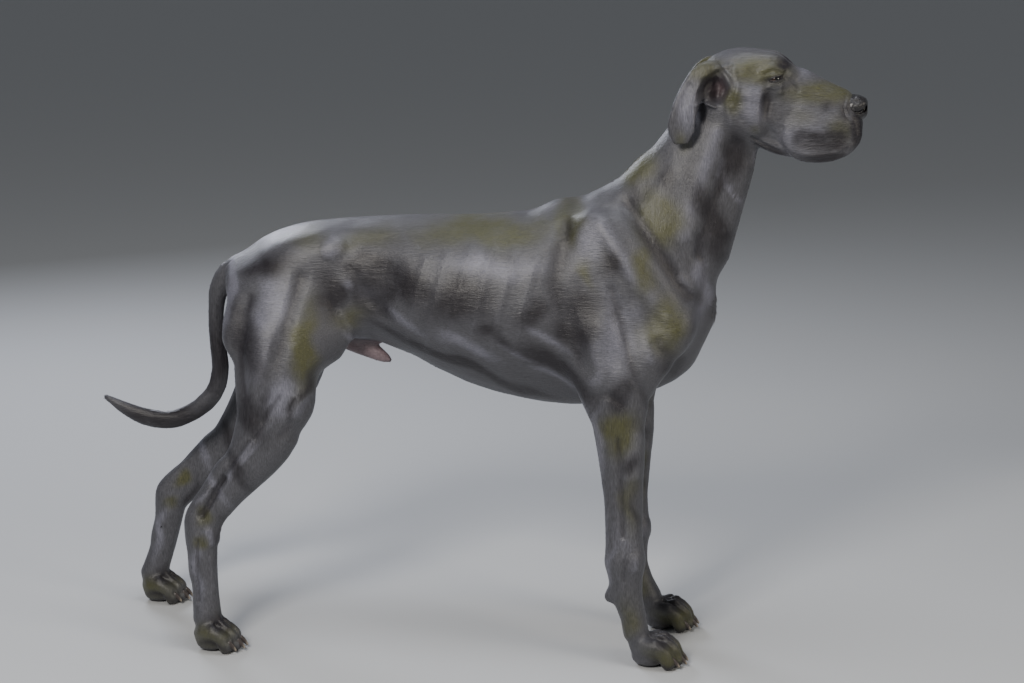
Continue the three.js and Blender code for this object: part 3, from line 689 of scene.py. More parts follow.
# Painted highlight: paler, bluer sheen of light on the coat
PAINTED_SHEEN = tuple(Patch(*row) for row in (
    (-290, 722, 42, 15, 1.2, -20), (-452, 690, 38, 62, 1.0, 8), (52, 604, 62, 10, 1.2, -34),
    (91, 640, 60, 10, 1.0, -34), (111, 545, 74, 9, 1.2, -30), (-12, 775, 112, 24, 0.9),
    (166, 838, 32, 50, 0.9), (221, 638, 42, 72, 0.9), (-548, 710, 13, 90, 1.3),
    (-465, 821, 80, 18, 0.9, 14), (-426, 514, 44, 40, 1.0), (376, 745, 14, 70, 1.1),
    (188, 452, 11, 64, 1.0), (-73, 622, 62, 16, 1.0, -24), (-200, 665, 60, 12, 0.8, -24),
    (470, 1085, 24, 40, 1.0), (556, 1030, 48, 38, 0.9), (345, 1080, 22, 46, 1.0),
    (240, 260, 36, 60, 0.5), (560, 1160, 18, 24, 0.8), (-600, 160, 12, 80, 0.8),
    (-560, 330, 10, 50, 0.8, 40), (214, 200, 8, 60, 0.7), (340, 745, 24, 40, 0.6),
    (200, 720, 26, 50, 0.6), (420, 940, 8, 70, 1.0, 20), (-500, 560, 12, 60, 0.6),
))


@dataclass(frozen=True)
class LightAndMarkings:
    """Painted light and tone of the coat at any point: olive cast, dark (mostly painted shade) and pale
    painted highlight in three channels, bare skin in the fourth.
    """

    ripple: float = 7.0
    shade: float = 0.75
    shine: float = 0.7

    def at(self, points: np.ndarray) -> np.ndarray:
        """Tone channels for stance places.

        Args:
            points: stance places, one row a point.

        Returns:
            Rows of olive cast, dark (mostly painted shade), pale painted highlight and bare skin, each 0 to
            1.
        """
        p = level_hind(points)
        x, y, z = p[:, 0], np.abs(p[:, 1]), p[:, 2]
        xw = x + self.ripple * np.sin(z * 0.041 + 0.6) + self.ripple * 0.6 * np.sin(z * 0.093 + x * 0.035)
        zw = z + self.ripple * np.sin(x * 0.037 + 1.1) + self.ripple * 0.5 * np.sin(x * 0.081 + z * 0.05)
        head = Regions(points).head()
        xw, zw = xw * (1 - head) + (x + (xw - x) * 0.2) * head, zw * (1 - head) + (z + (zw - z) * 0.2) * head
        rows = []
        for patches in (OLIVE_LIGHT_CAST, PAINTED_SHADE_AND_DARK, PAINTED_SHEEN):
            total = np.zeros(len(points))
            for patch in patches:
                total = np.maximum(total, patch.amount(xw, y, zw))
            rows.append(smooth_step(0.12, 1.0, total))
        belly = smooth_step(-150, -250, x) * smooth_step(-420, -340, x) * smooth_step(616, 590, z) * (y < 40)
        soles = smooth_step(9, 3, z)
        concha = np.exp(-((x - 402) / 14) ** 2 - ((z - 1116) / 18) ** 2) * (y < 66) * (y > 30) * head * 0.35
        rows.append(np.clip(belly * 0.8 + concha, 0, 1))
        # Painted shade in the grooves and painted highlight on the ridges, from the depths of the strokes
        form = np.zeros(len(points))
        for stroke in BODY_STROKES + rib_strokes() + HEAD_STROKES[3:]:
            if not stroke.way:
                form += stroke.depth * stroke.weight(p)
        rows[1] = np.maximum(rows[1], self.shade * smooth_step(0.8, 5.0, -form))
        rows[2] = np.maximum(rows[2], self.shine * smooth_step(1.0, 4.5, form)) * (1 - rows[1] * 0.6)
        rows[1] = np.maximum(rows[1], soles)
        for side in (-1, 1):
            room, distance, facing = Lids(side).room(points)
            rim = smooth_step(-2.6, -0.9, room) * (distance < 18) * (facing > 0.1)
            rows[1] = np.maximum(rows[1], rim)
        rows[1] = np.clip(rows[1], 0, 1)
        return np.column_stack(rows)


# Finishes


def add_node(tree: bpy.types.NodeTree, kind: str, settings: dict | None = None,
             inputs: dict | None = None) -> bpy.types.Node:
    """Add one node with its settings, values and links.

    Args:
        tree: the material's tree.
        kind: the node's type.
        settings: properties of the node.
        inputs: by socket name or number, a value or a socket to link from.

    Returns:
        The new node.
    """
    node = tree.nodes.new(kind)
    for name, value in (settings or {}).items():
        setattr(node, name, value)
    for name, value in (inputs or {}).items():
        if isinstance(value, bpy.types.NodeSocket):
            tree.links.new(value, node.inputs[name])
        else:
            node.inputs[name].default_value = value
    return node


def new_material(name: str) -> tuple[bpy.types.Material, bpy.types.NodeTree, bpy.types.Node]:
    """An empty material with one shader linked to its output.

    Args:
        name: the real material's name.

    Returns:
        The material, its tree and its shader.
    """
    material = bpy.data.materials.new(name)
    material.use_nodes = True
    tree = material.node_tree
    tree.nodes.clear()
    shader = add_node(tree, "ShaderNodeBsdfPrincipled")
    output = add_node(tree, "ShaderNodeOutputMaterial")
    tree.links.new(shader.outputs[0], output.inputs[0])
    return material, tree, shader


def mix_colour(tree: bpy.types.NodeTree, amount: object, a: object, b: object,
               blend: str = "MIX") -> bpy.types.NodeSocket:
    """The result of mixing two colours."""
    node = add_node(tree, "ShaderNodeMix", {"data_type": "RGBA", "blend_type": blend},
                    {0: amount, 6: a, 7: b})
    return node.outputs[2]


def multiply(tree: bpy.types.NodeTree, a: object, b: object, clamp: bool = False) -> bpy.types.NodeSocket:
    """The product of two values, kept from 0 to 1 where clamp is set."""
    node = add_node(tree, "ShaderNodeMath", {"operation": "MULTIPLY", "use_clamp": clamp}, {0: a, 1: b})
    return node.outputs[0]


@dataclass(frozen=True)
class ShortCoat:
    """Steel-blue dog coat: dense 4 to 6 mm hair lying flat, oiled by grooming, so it shines. Painted shade,
    painted highlight and an olive light cast come from the tone attribute.
    """

    base: str = "#434348"
    # The olive, dark and pale colours paint the light: an olive cast, shade (with the dark lips and pads),
    # and highlight
    olive: str = "#3f3f27"
    dark: str = "#1c191e"
    pale: str = "#676772"
    bare: str = "#77666a"
    hair_mm: float = 1.7
    stretch: float = 7.0
    roughness: float = 0.42

    def grain(self, tree: bpy.types.NodeTree, place: bpy.types.NodeSocket, along: int, seed: float,
              scale: float = 1.0) -> bpy.types.NodeSocket:
        """Streaks of hair lying along one axis.

        Args:
            tree: the material's tree.
            place: object coordinates.
            along: the axis the hair lies on, 0 for X and 2 for Z.
            seed: moves the pattern.
            scale: how much coarser than one hair the streaks are.

        Returns:
            A value round 0.5.
        """
        across = 1000.0 / (self.hair_mm * scale)
        size = [across, across, across]
        size[along] = across / self.stretch
        mapped = add_node(tree, "ShaderNodeMapping", None,
                          {"Vector": place, "Scale": tuple(size), "Location": (seed, seed * 0.7, seed * 0.3)})
        noise = add_node(tree, "ShaderNodeTexNoise", None,
                         {"Vector": mapped.outputs[0], "Scale": 1.0, "Detail": 3.0, "Roughness": 0.62})
        return noise.outputs[0]

    def make(self) -> bpy.types.Material:
        """Build the coat's material.

        Returns:
            The finished material.
        """
        material, tree, shader = new_material("short steel-blue dog coat")
        place = add_node(tree, "ShaderNodeTexCoord").outputs["Object"]
        tone = add_node(tree, "ShaderNodeAttribute", {"attribute_name": "tone"})
        split = add_node(tree, "ShaderNodeSeparateColor", None, {0: tone.outputs["Color"]})
        lie = add_node(tree, "ShaderNodeAttribute", {"attribute_name": "lie"})
        lie_split = add_node(tree, "ShaderNodeSeparateColor", None, {0: lie.outputs["Color"]})
        upright = lie_split.outputs[0]
        fine = add_node(tree, "ShaderNodeMix", {"data_type": "FLOAT"}, {
            0: upright, 2: self.grain(tree, place, 0, 3.1), 3: self.grain(tree, place, 2, 5.3)}).outputs[0]
        broad = add_node(tree, "ShaderNodeMix", {"data_type": "FLOAT"}, {
            0: upright, 2: self.grain(tree, place, 0, 9.1, 3.4),
            3: self.grain(tree, place, 2, 8.3, 3.4)}).outputs[0]
        cloud = add_node(tree, "ShaderNodeTexNoise", None,
                         {"Vector": place, "Scale": 17.0, "Detail": 4.0, "Roughness": 0.6}).outputs[0]
        ragged = add_node(tree, "ShaderNodeMath", {"operation": "MULTIPLY_ADD"},
                          {0: cloud, 1: 1.5, 2: 0.25}).outputs[0]
        streaky = add_node(tree, "ShaderNodeMath", {"operation": "MULTIPLY_ADD"},
                           {0: broad, 1: 0.9, 2: 0.55}).outputs[0]
        colour = linear(self.base)
        # Painted highlight, olive light cast and painted shade over the base colour, ragged and streaked
        for channel, strength, tint in ((2, 0.85, self.pale), (0, 0.9, self.olive), (1, 1.0, self.dark)):
            light_and_tone_share = multiply(tree, multiply(tree, split.outputs[channel], ragged), streaky)
            colour = mix_colour(tree, multiply(tree, light_and_tone_share, strength, True), colour, linear(tint))
        colour = mix_colour(tree, lie_split.outputs[1], colour, linear(self.bare))
        lift = add_node(tree, "ShaderNodeMapRange", None,
                        {0: fine, 1: 0.25, 2: 0.75, 3: 0.5, 4: 1.55}).outputs[0]
        shade = add_node(tree, "ShaderNodeCombineColor", None, {0: lift, 1: lift, 2: lift}).outputs[0]
        colour = mix_colour(tree, 1.0, colour, shade, "MULTIPLY")
        tree.links.new(colour, shader.inputs["Base Color"])
        rough = add_node(tree, "ShaderNodeMapRange", None,
                         {0: fine, 1: 0.2, 2: 0.8, 3: self.roughness - 0.09, 4: self.roughness + 0.12})
        tree.links.new(rough.outputs[0], shader.inputs["Roughness"])
        height = add_node(tree, "ShaderNodeMath", {"operation": "MULTIPLY_ADD"},
                          {0: broad, 1: 1.3, 2: fine}).outputs[0]
        bump = add_node(tree, "ShaderNodeBump", None, {"Strength": 0.7, "Distance": 0.0012, "Height": height})
        tree.links.new(bump.outputs[0], shader.inputs["Normal"])
        shader.inputs["Sheen Weight"].default_value = 0.06
        shader.inputs["Sheen Roughness"].default_value = 0.35
        shader.inputs["Sheen Tint"].default_value = linear("#c9cbe0")
        shader.inputs["Specular IOR Level"].default_value = 0.45
        return material


@dataclass(frozen=True)
class NoseLeather:
    """Bare nose leather: wet, black-slate, cut into small pebbles."""

    colour: str = "#0f0e11"
    edge: str = "#1d1b1f"
    pebble_mm: float = 1.5

    def make(self) -> bpy.types.Material:
        """Build the nose's material.

        Returns:
            The finished material.
        """
        material, tree, shader = new_material("wet pebbled nose leather")
        place = add_node(tree, "ShaderNodeTexCoord").outputs["Object"]
        cells = add_node(tree, "ShaderNodeTexVoronoi", {"feature": "DISTANCE_TO_EDGE"},
                         {"Vector": place, "Scale": 1000 / self.pebble_mm})
        raised = add_node(tree, "ShaderNodeMapRange", None, {0: cells.outputs[0], 1: 0.0, 2: 0.22})
        colour = mix_colour(tree, raised.outputs[0], linear(self.edge), linear(self.colour))
        tree.links.new(colour, shader.inputs["Base Color"])
        bump = add_node(tree, "ShaderNodeBump", None,
                        {"Strength": 0.45, "Distance": 0.0005, "Height": raised.outputs[0]})
        tree.links.new(bump.outputs[0], shader.inputs["Normal"])
        shader.inputs["Roughness"].default_value = 0.34
        shader.inputs["Coat Weight"].default_value = 0.25
        shader.inputs["Coat Roughness"].default_value = 0.2
        return material


@dataclass(frozen=True)
class WetEye:
    """A dog's eye: dark brown iris round a black pupil, under a wet clear cornea."""

    white: str = "#5d524e"
    ring: str = "#0a0807"
    iris: str = "#2a180d"
    pupil: str = "#020202"

    def make(self) -> bpy.types.Material:
        """Build the eye's material from the ring attribute, 0 at the pupil and 1 at the back.

        Returns:
            The finished material.
        """
        material, tree, shader = new_material("wet dark brown eye")
        ring = add_node(tree, "ShaderNodeAttribute", {"attribute_name": "ring"})
        ramp = add_node(tree, "ShaderNodeValToRGB", None, {0: ring.outputs["Fac"]})
        elements = ramp.color_ramp.elements
        elements[0].position, elements[0].color = 0.0, linear(self.pupil)
        elements[1].position, elements[1].color = 1.0, linear(self.white)
        for position, colour in ((0.13, self.pupil), (0.16, self.iris), (0.27, self.iris), (0.31, self.ring),
                                 (0.35, self.white)):
            elements.new(position).color = linear(colour)
        tree.links.new(ramp.outputs[0], shader.inputs["Base Color"])
        shader.inputs["Roughness"].default_value = 0.07
        shader.inputs["Coat Weight"].default_value = 1.0
        shader.inputs["Coat Roughness"].default_value = 0.02
        return material


@dataclass(frozen=True)
class ClawHorn:
    """Claw horn: grey-brown keratin in fine lengthwise layers, paler at the tip where it wears."""

    root: str = "#3a3331"
    tip: str = "#8d8377"

    def make(self) -> bpy.types.Material:
        """Build the horn's material from the along attribute, 0 at the root and 1 at the tip.

        Returns:
            The finished material.
        """
        material, tree, shader = new_material("keratin claw horn")
        place = add_node(tree, "ShaderNodeTexCoord").outputs["Object"]
        along = add_node(tree, "ShaderNodeAttribute", {"attribute_name": "along"})
        colour = mix_colour(tree, along.outputs["Fac"], linear(self.root), linear(self.tip))
        mapped = add_node(tree, "ShaderNodeMapping", None, {"Vector": place, "Scale": (150, 1600, 900)})
        layer = add_node(tree, "ShaderNodeTexNoise", None, {"Vector": mapped.outputs[0], "Scale": 1.0})
        shade = add_node(tree, "ShaderNodeMapRange", None, {0: layer.outputs[0], 3: 0.7, 4: 1.25}).outputs[0]
        grey = add_node(tree, "ShaderNodeCombineColor", None, {0: shade, 1: shade, 2: shade}).outputs[0]
        tree.links.new(mix_colour(tree, 1.0, colour, grey, "MULTIPLY"), shader.inputs["Base Color"])
        bump = add_node(tree, "ShaderNodeBump", None,
                        {"Strength": 0.3, "Distance": 0.0004, "Height": layer.outputs[0]})
        tree.links.new(bump.outputs[0], shader.inputs["Normal"])
        shader.inputs["Roughness"].default_value = 0.36
        return material


# Pieces


def coat_nodes() -> list[str]:
    """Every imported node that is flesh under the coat."""
    names = list(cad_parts)
    return [n for n in names if "claw" not in n and not n.startswith(("eye_", "nose"))]


def hair_lie(points: np.ndarray) -> np.ndarray:
    """Direction in which the hair lies at stance places.

    Args:
        points: stance places, one row a point.

    Returns:
        Unit vectors, one row a point.
    """
    x, z = points[:, 0], points[:, 2]
    regions = Regions(points)
    lie = np.tile(np.array([-1.0, 0.0, -0.28]), (len(points), 1))
    neck = smooth_step(180, 300, x) * smooth_step(700, 800, z)
    lie += neck[:, None] * (np.array([-0.55, 0, -0.85]) - lie)
    for weight, way in ((regions.head(), (-1.0, 0, 0.08)), (regions.legs(), (-0.12, 0, -1.0)),
                        (regions.ear_flap(), (-0.25, 0, -1.0)), (regions.paws(), (0.7, 0, -0.7))):
        lie += weight[:, None] * (np.array(way) - lie)
    tail = regions.tail()
    along = np.column_stack([-smooth_step(560, 440, z), np.zeros(len(z)), -smooth_step(430, 520, z)])
    along[:, 2] += 0.3 * smooth_step(-740, -800, x)
    lie += tail[:, None] * (along - lie)
    return lie / np.maximum(np.linalg.norm(lie, axis=1, keepdims=True), 1e-9)


@dataclass
class Skin:
    """One continuous skin over all the flesh, with its muscles, folds, lids and lips."""

    overlap_mm: float = 0.7
    lid_mm: float = 3.4
    ground_mm: float = 0.15
    smoothing: float = 0.9
    trunk_turns: int = 60
    limb_turns: int = 44
    quick_share: float = 0.25
    light_and_markings: LightAndMarkings = field(default_factory=LightAndMarkings)

    def gather(self) -> bpy.types.Object:
        """Join swollen copies of the flesh nodes, so that the thin parting cuts close.

        Returns:
            The joined object, still in overlapping parts.
        """
        copies = [copy_node(name) for name in coat_nodes()]
        for obj in copies:
            points = read_points(obj) + read_normals(obj) * self.overlap_mm * MM
            write_points(obj, points)
        for side in (-1, 1):
            bpy.ops.object.select_all(action="DESELECT")
            bpy.ops.mesh.primitive_uv_sphere_add(segments=32, ring_count=20,
                                                 radius=(EYE_RADIUS + self.lid_mm) * MM)
            globe = bpy.context.object
            write_points(globe, read_points(globe) + to_frame(Lids(side).centre()))
            copies.append(globe)
        bpy.ops.object.select_all(action="DESELECT")
        for obj in copies:
            obj.select_set(True)
        bpy.context.view_layer.objects.active = copies[0]
        bpy.ops.object.join()
        skin = bpy.context.object
        skin.name = skin.data.name = "skin"
        return skin

    def relax(self, skin: bpy.types.Object) -> None:
        """Smooth the facets away: most on the trunk, least on the head and paws.

        Args:
            skin: the remeshed skin.
        """
        regions = Regions(to_stance(read_points(skin)))
        head, paws, legs, tail = regions.head(), regions.paws(), regions.legs(), regions.tail()
        fine = np.clip(head + paws, 0, 1)
        trunk = np.clip(1 - fine - legs - tail, 0, 1)
        set_group(skin, "trunk", trunk)
        face = head * (1 - 0.75 * regions.ear_flap())
        set_group(skin, "limbs", np.clip(1 - face * 0.94 - paws * 0.85 - tail * 0.5, 0, 1))
        share = 1.0
        for group, turns in (("trunk", self.trunk_turns), ("limbs", self.limb_turns)):
            apply_modifier(skin, "SMOOTH", factor=self.smoothing, iterations=int(turns * share),
                           vertex_group=group)
        apply_modifier(skin, "SMOOTH", factor=0.5, iterations=2)
        skin.vertex_groups.clear()

    def model(self, skin: bpy.types.Object, strokes: list[Stroke]) -> None:
        """Press the strokes into the skin along its normals.

        Args:
            skin: the skin.
            strokes: the forms to press in.
        """
        points = read_points(skin)
        real = to_stance(points)
        stance = level_hind(real)
        mirror = np.column_stack([np.ones(len(real)), np.sign(real[:, 1]), np.ones(len(real))])
        depth, straight = np.zeros(len(points)), np.zeros_like(real)
        for stroke in strokes:
            moved = stroke.depth * stroke.weight(real if len(stroke.path[0]) == 3 else stance)
            if stroke.way:
                straight += moved[:, None] * np.array(stroke.way) * mirror
            else:
                depth += moved
        write_points(skin, points + (read_normals(skin) * depth[:, None] + straight) * MM)

    def settle(self, skin: bpy.types.Object) -> None:
        """Draw the skin in by the coat's depth, and flatten the soles at the floor.

        Args:
            skin: the skin.
        """
        points = read_points(skin)
        stance = to_stance(points)
        regions = Regions(stance)
        fine = np.clip(regions.head() + regions.paws(), 0, 1)
        depth = COAT_DEPTH * (1 - 0.4 * fine) + self.overlap_mm - 1.3 * regions.legs() * (1 - fine)
        points -= read_normals(skin) * (depth * MM)[:, None]
        points[:, 2] = np.maximum(points[:, 2], self.ground_mm * MM)
        write_points(skin, points)

    def thin_out(self, skin: bpy.types.Object) -> None:
        """Wider faces on the trunk than on the legs, and the finest ones on the head and paws.

        Args:
            skin: the skin.
        """
        regions = Regions(to_stance(read_points(skin)))
        keep = np.maximum.reduce([regions.head() * 0.95, regions.paws() * 0.8, regions.legs() * 0.55,
                                  regions.tail() * 0.6, np.full(len(skin.data.vertices), 0.4)])
        set_group(skin, "plain", 1 - keep)
        triangles = sum(len(p.vertices) - 2 for p in skin.data.polygons)
        ratio = min(1.0, SKIN_TRIANGLES / triangles)
        apply_modifier(skin, "DECIMATE", ratio=ratio, vertex_group="plain", vertex_group_factor=1.0)
        skin.vertex_groups.clear()

    def open_eyes(self, skin: bpy.types.Object) -> None:
        """Make the mesh fine round both eyes, then shape the lids there.

        Args:
            skin: the skin.
        """
        only(skin)
        polygons = skin.data.polygons
        stance = to_stance(read_values(polygons, "center"))
        near = np.zeros(len(polygons), bool)
        for side in (-1, 1):
            room, distance, facing = Lids(side).room(stance)
            near |= (distance < 26) & (facing > 0.0) & (room > -10)
        skin.data.vertices.foreach_set("select", np.zeros(len(skin.data.vertices), bool))
        skin.data.edges.foreach_set("select", np.zeros(len(skin.data.edges), bool))
        polygons.foreach_set("select", near)
        bpy.ops.object.mode_set(mode="EDIT")
        bpy.ops.mesh.select_mode(type="FACE")
        bpy.ops.mesh.subdivide(number_cuts=3)
        bpy.ops.object.mode_set(mode="OBJECT")
        points = to_stance(read_points(skin))
        for side in (-1, 1):
            points = Lids(side).shape(points)
        write_points(skin, to_frame(points))

    def build(self, coat: bpy.types.Material) -> bpy.types.Object:
        """Make the whole skin and dress it.

        Args:
            coat: the coat's material.

        Returns:
            The finished skin.
        """
        skin = self.gather()
        apply_modifier(skin, "REMESH", mode="VOXEL", voxel_size=VOXEL, use_smooth_shade=True)
        log.info("skin after remesh: %d", len(skin.data.vertices))
        self.relax(skin)
        whiskers = [Stroke(((x, z),), 3.2, 0.8, 10) for x, z in WHISKER_ROWS]
        self.model(skin, list(BODY_STROKES + rib_strokes()))
        self.model(skin, list(HEAD_STROKES) + list(EAR_STROKES) + whiskers)
        self.model(skin, paw_strokes())
        apply_modifier(skin, "SMOOTH", factor=0.35, iterations=1)
        self.settle(skin)
        write_points(skin, to_frame(NoseSeat().shape(to_stance(read_points(skin)))))
        self.thin_out(skin)
        self.open_eyes(skin)
        only(skin)
        bpy.ops.object.shade_smooth()
        stance = to_stance(read_points(skin))
        mark_coat(skin, self.light_and_markings.at(stance), np.abs(hair_lie(stance)[:, 2]))
        dress(skin, coat)
        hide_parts(*coat_nodes())
        return skin


@dataclass
class Nose:
    """The nose leather, smoothed from its packed form."""

    voxel: float = 0.0008
    scale: tuple = (1.24, 1.25, 1.28)
    drop_mm: float = 1.5

    def build(self, leather: bpy.types.Material) -> bpy.types.Object:
        """Make the nose and dress it.

        Args:
            leather: the nose's material.

        Returns:
            The finished nose.
        """
        nose = copy_node("nose")
        nose.name = nose.data.name = "nose_leather"
        middle = to_frame(np.array(NOSE_STANCE))
        points = middle + (read_points(nose) - middle) * self.scale - (0, 0, self.drop_mm * MM)
        write_points(nose, points)
        apply_modifier(nose, "REMESH", mode="VOXEL", voxel_size=self.voxel, use_smooth_shade=True)
        apply_modifier(nose, "SMOOTH", factor=0.5, iterations=8)
        points = read_points(nose)
        stance = to_stance(points)
        depth = np.zeros(len(points))
        for stroke in NOSE_STROKES:
            depth += stroke.depth * stroke.weight(stance)
        write_points(nose, points + read_normals(nose) * (depth * MM)[:, None])
        apply_modifier(nose, "SMOOTH", factor=0.5, iterations=3)
        dress(nose, leather)
        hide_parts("nose")
        return nose


@dataclass
class Eye:
    """One eyeball with a raised cornea, looking forwards and outwards."""

    side: int
    radius: float = EYE_RADIUS
    fit: float = 0.985
    cornea: float = 1.1
    cornea_share: float = 0.3
    gaze: tuple = (0.5, 0.86, 0.02)

    def build(self, finish: bpy.types.Material) -> bpy.types.Object:
        """Make the eye and dress it.

        Args:
            finish: the eye's material.

        Returns:
            The finished eyeball.
        """
        centre = to_frame(np.array([EYE_STANCE[0], self.side * EYE_STANCE[1], EYE_STANCE[2]]))
        bpy.ops.object.select_all(action="DESELECT")
        bpy.ops.mesh.primitive_uv_sphere_add(segments=48, ring_count=32, radius=self.radius * MM * self.fit)
        eye = bpy.context.object
        look = Vector((self.gaze[0], self.gaze[1] * self.side, self.gaze[2])).normalized()
        turn = look.to_track_quat("Z", "Y").to_matrix()
        points = read_points(eye)
        ring = np.arccos(np.clip(points[:, 2] / (self.radius * MM * self.fit), -1, 1)) / math.pi
        bulge = np.clip(1 - ring / self.cornea_share, 0, 1) ** 1.5 * self.cornea * MM
        points += points / np.linalg.norm(points, axis=1, keepdims=True) * bulge[:, None]
        points = points @ np.array(turn).T + centre
        write_points(eye, points)
        eye.name = eye.data.name = "eyeball_left" if self.side > 0 else "eyeball_right"
        only(eye)
        bpy.ops.object.shade_smooth()
        set_values(eye, "ring", ring)
        dress(eye, finish)
        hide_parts("eye_left" if self.side > 0 else "eye_right")
        return eye


@dataclass
class Claws:
    """The claws of one foot, short, curved and blunt from wear."""

    name: str
    foot: tuple
    paw: tuple
    length: float = 22.0
    root: float = 6.2
    tip: float = 2.0
    hook: float = 4.6
    slope: float = 30.0
    height: float = 17.5
    thin: float = 0.72
    swelling: float = 0.22
    lowest: float = 0.3
    pale_from: float = 0.7

    def one(self, number: int, across: float, reach: float, finish: bpy.types.Material) -> None:
        """Make one claw in the end of a toe.

        Args:
            number: the claw's number on its foot.
            across: its place across the paw, as a share of the width.
            reach: how far its toe reaches, in mm.
            finish: the horn's material.
        """
        bpy.ops.object.select_all(action="DESELECT")
        bpy.ops.mesh.primitive_cone_add(vertices=14, radius1=self.root * MM, radius2=self.tip * MM,
                                        depth=self.length * MM, end_fill_type="TRIFAN")
        claw = bpy.context.object
        edit_all(claw, bpy.ops.mesh.subdivide, number_cuts=3)
        points = read_points(claw) / MM
        along = points[:, 2] / self.length + 0.5
        swell = 1 + self.swelling * np.sin(np.clip(along, 0, 1) * math.pi)
        body = np.column_stack([points[:, 2], points[:, 1] * self.thin * swell,
                                points[:, 0] * swell - self.hook * along ** 2])
        tilt = math.radians(self.slope)
        c, s = math.cos(tilt), math.sin(tilt)
        turned = np.column_stack([body[:, 0] * c + body[:, 2] * s, body[:, 1],
                                  -body[:, 0] * s + body[:, 2] * c])
        place = np.array([self.foot[0] + self.paw[0] * 0.5 + reach, self.foot[1] + across * self.paw[1],
                          self.height])
        write_points(claw, to_frame(np.maximum(turned + place, (-np.inf, -np.inf, self.lowest))))
        claw.name = claw.data.name = f"{self.name}_horn_{number}"
        edit_all(claw, bpy.ops.mesh.normals_make_consistent, inside=False)
        apply_modifier(claw, "SUBSURF", levels=1, render_levels=1)
        only(claw)
        bpy.ops.object.shade_smooth()
        tip_x = read_points(claw)[:, 0]
        value = smooth_step(self.pale_from, 1.0, (tip_x - tip_x.min()) / (tip_x.max() - tip_x.min()))
        set_values(claw, "along", value)
        dress(claw, finish)
        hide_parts(f"{self.name}_claw_{number}")

    def build(self, finish: bpy.types.Material) -> None:
        """Make the foot's four claws."""
        for number, (across, reach) in enumerate(TOES, 1):
            self.one(number, across, reach, finish)


# Two rings of three corners and a tip
TUFT_CORNERS = 7


@dataclass(frozen=True)
class TuftZone:
    """Where tufts grow, in side view, with how many and how they stand."""

    name: str
    low: tuple
    high: tuple
    count: int
    length: float
    width: float
    lift: float
    y_low: float = 0.0
    y_high: float = 400.0


TUFT_ZONES = (
    TuftZone("all_over", (-900, 60), (700, 1200), 8000, 6, 1.0, 0.08),
    TuftZone("nape_whorl", (195, 900), (262, 1000), 110, 8, 1.0, 0.2, 0, 14),
    TuftZone("breastbone", (365, 655), (410, 715), 90, 11, 1.2, 0.22, 0, 26),
    TuftZone("neck_front", (395, 760), (480, 1000), 260, 7, 1.0, 0.14, 0, 14),
    TuftZone("thigh_edge", (-590, 470), (-518, 740), 800, 8, 0.9, 0.2, 20),
    TuftZone("elbow", (160, 470), (200, 545), 200, 8, 0.9, 0.22, 60),
    TuftZone("forearm_back", (170, 240), (212, 470), 420, 7, 0.9, 0.2, 40),
    TuftZone("belly_line", (-330, 470), (190, 620), 700, 7, 0.9, 0.14, 0, 45),
    TuftZone("tail_hair", (-870, 390), (-560, 760), 1500, 8, 0.9, 0.12, 0, 40),
    TuftZone("ear_rim", (290, 990), (400, 1170), 620, 4, 0.8, 0.16, 62),
    TuftZone("hock_back", (-800, 100), (-600, 300), 360, 6, 0.9, 0.18, 60),
    TuftZone("throat_lip", (462, 975), (560, 1010), 160, 4, 0.8, 0.2, 0, 44),
    TuftZone("toes", (-820, 4), (400, 60), 800, 4, 0.8, 0.16),
    TuftZone("face", (430, 985), (640, 1195), 900, 3, 0.7, 0.08),
)


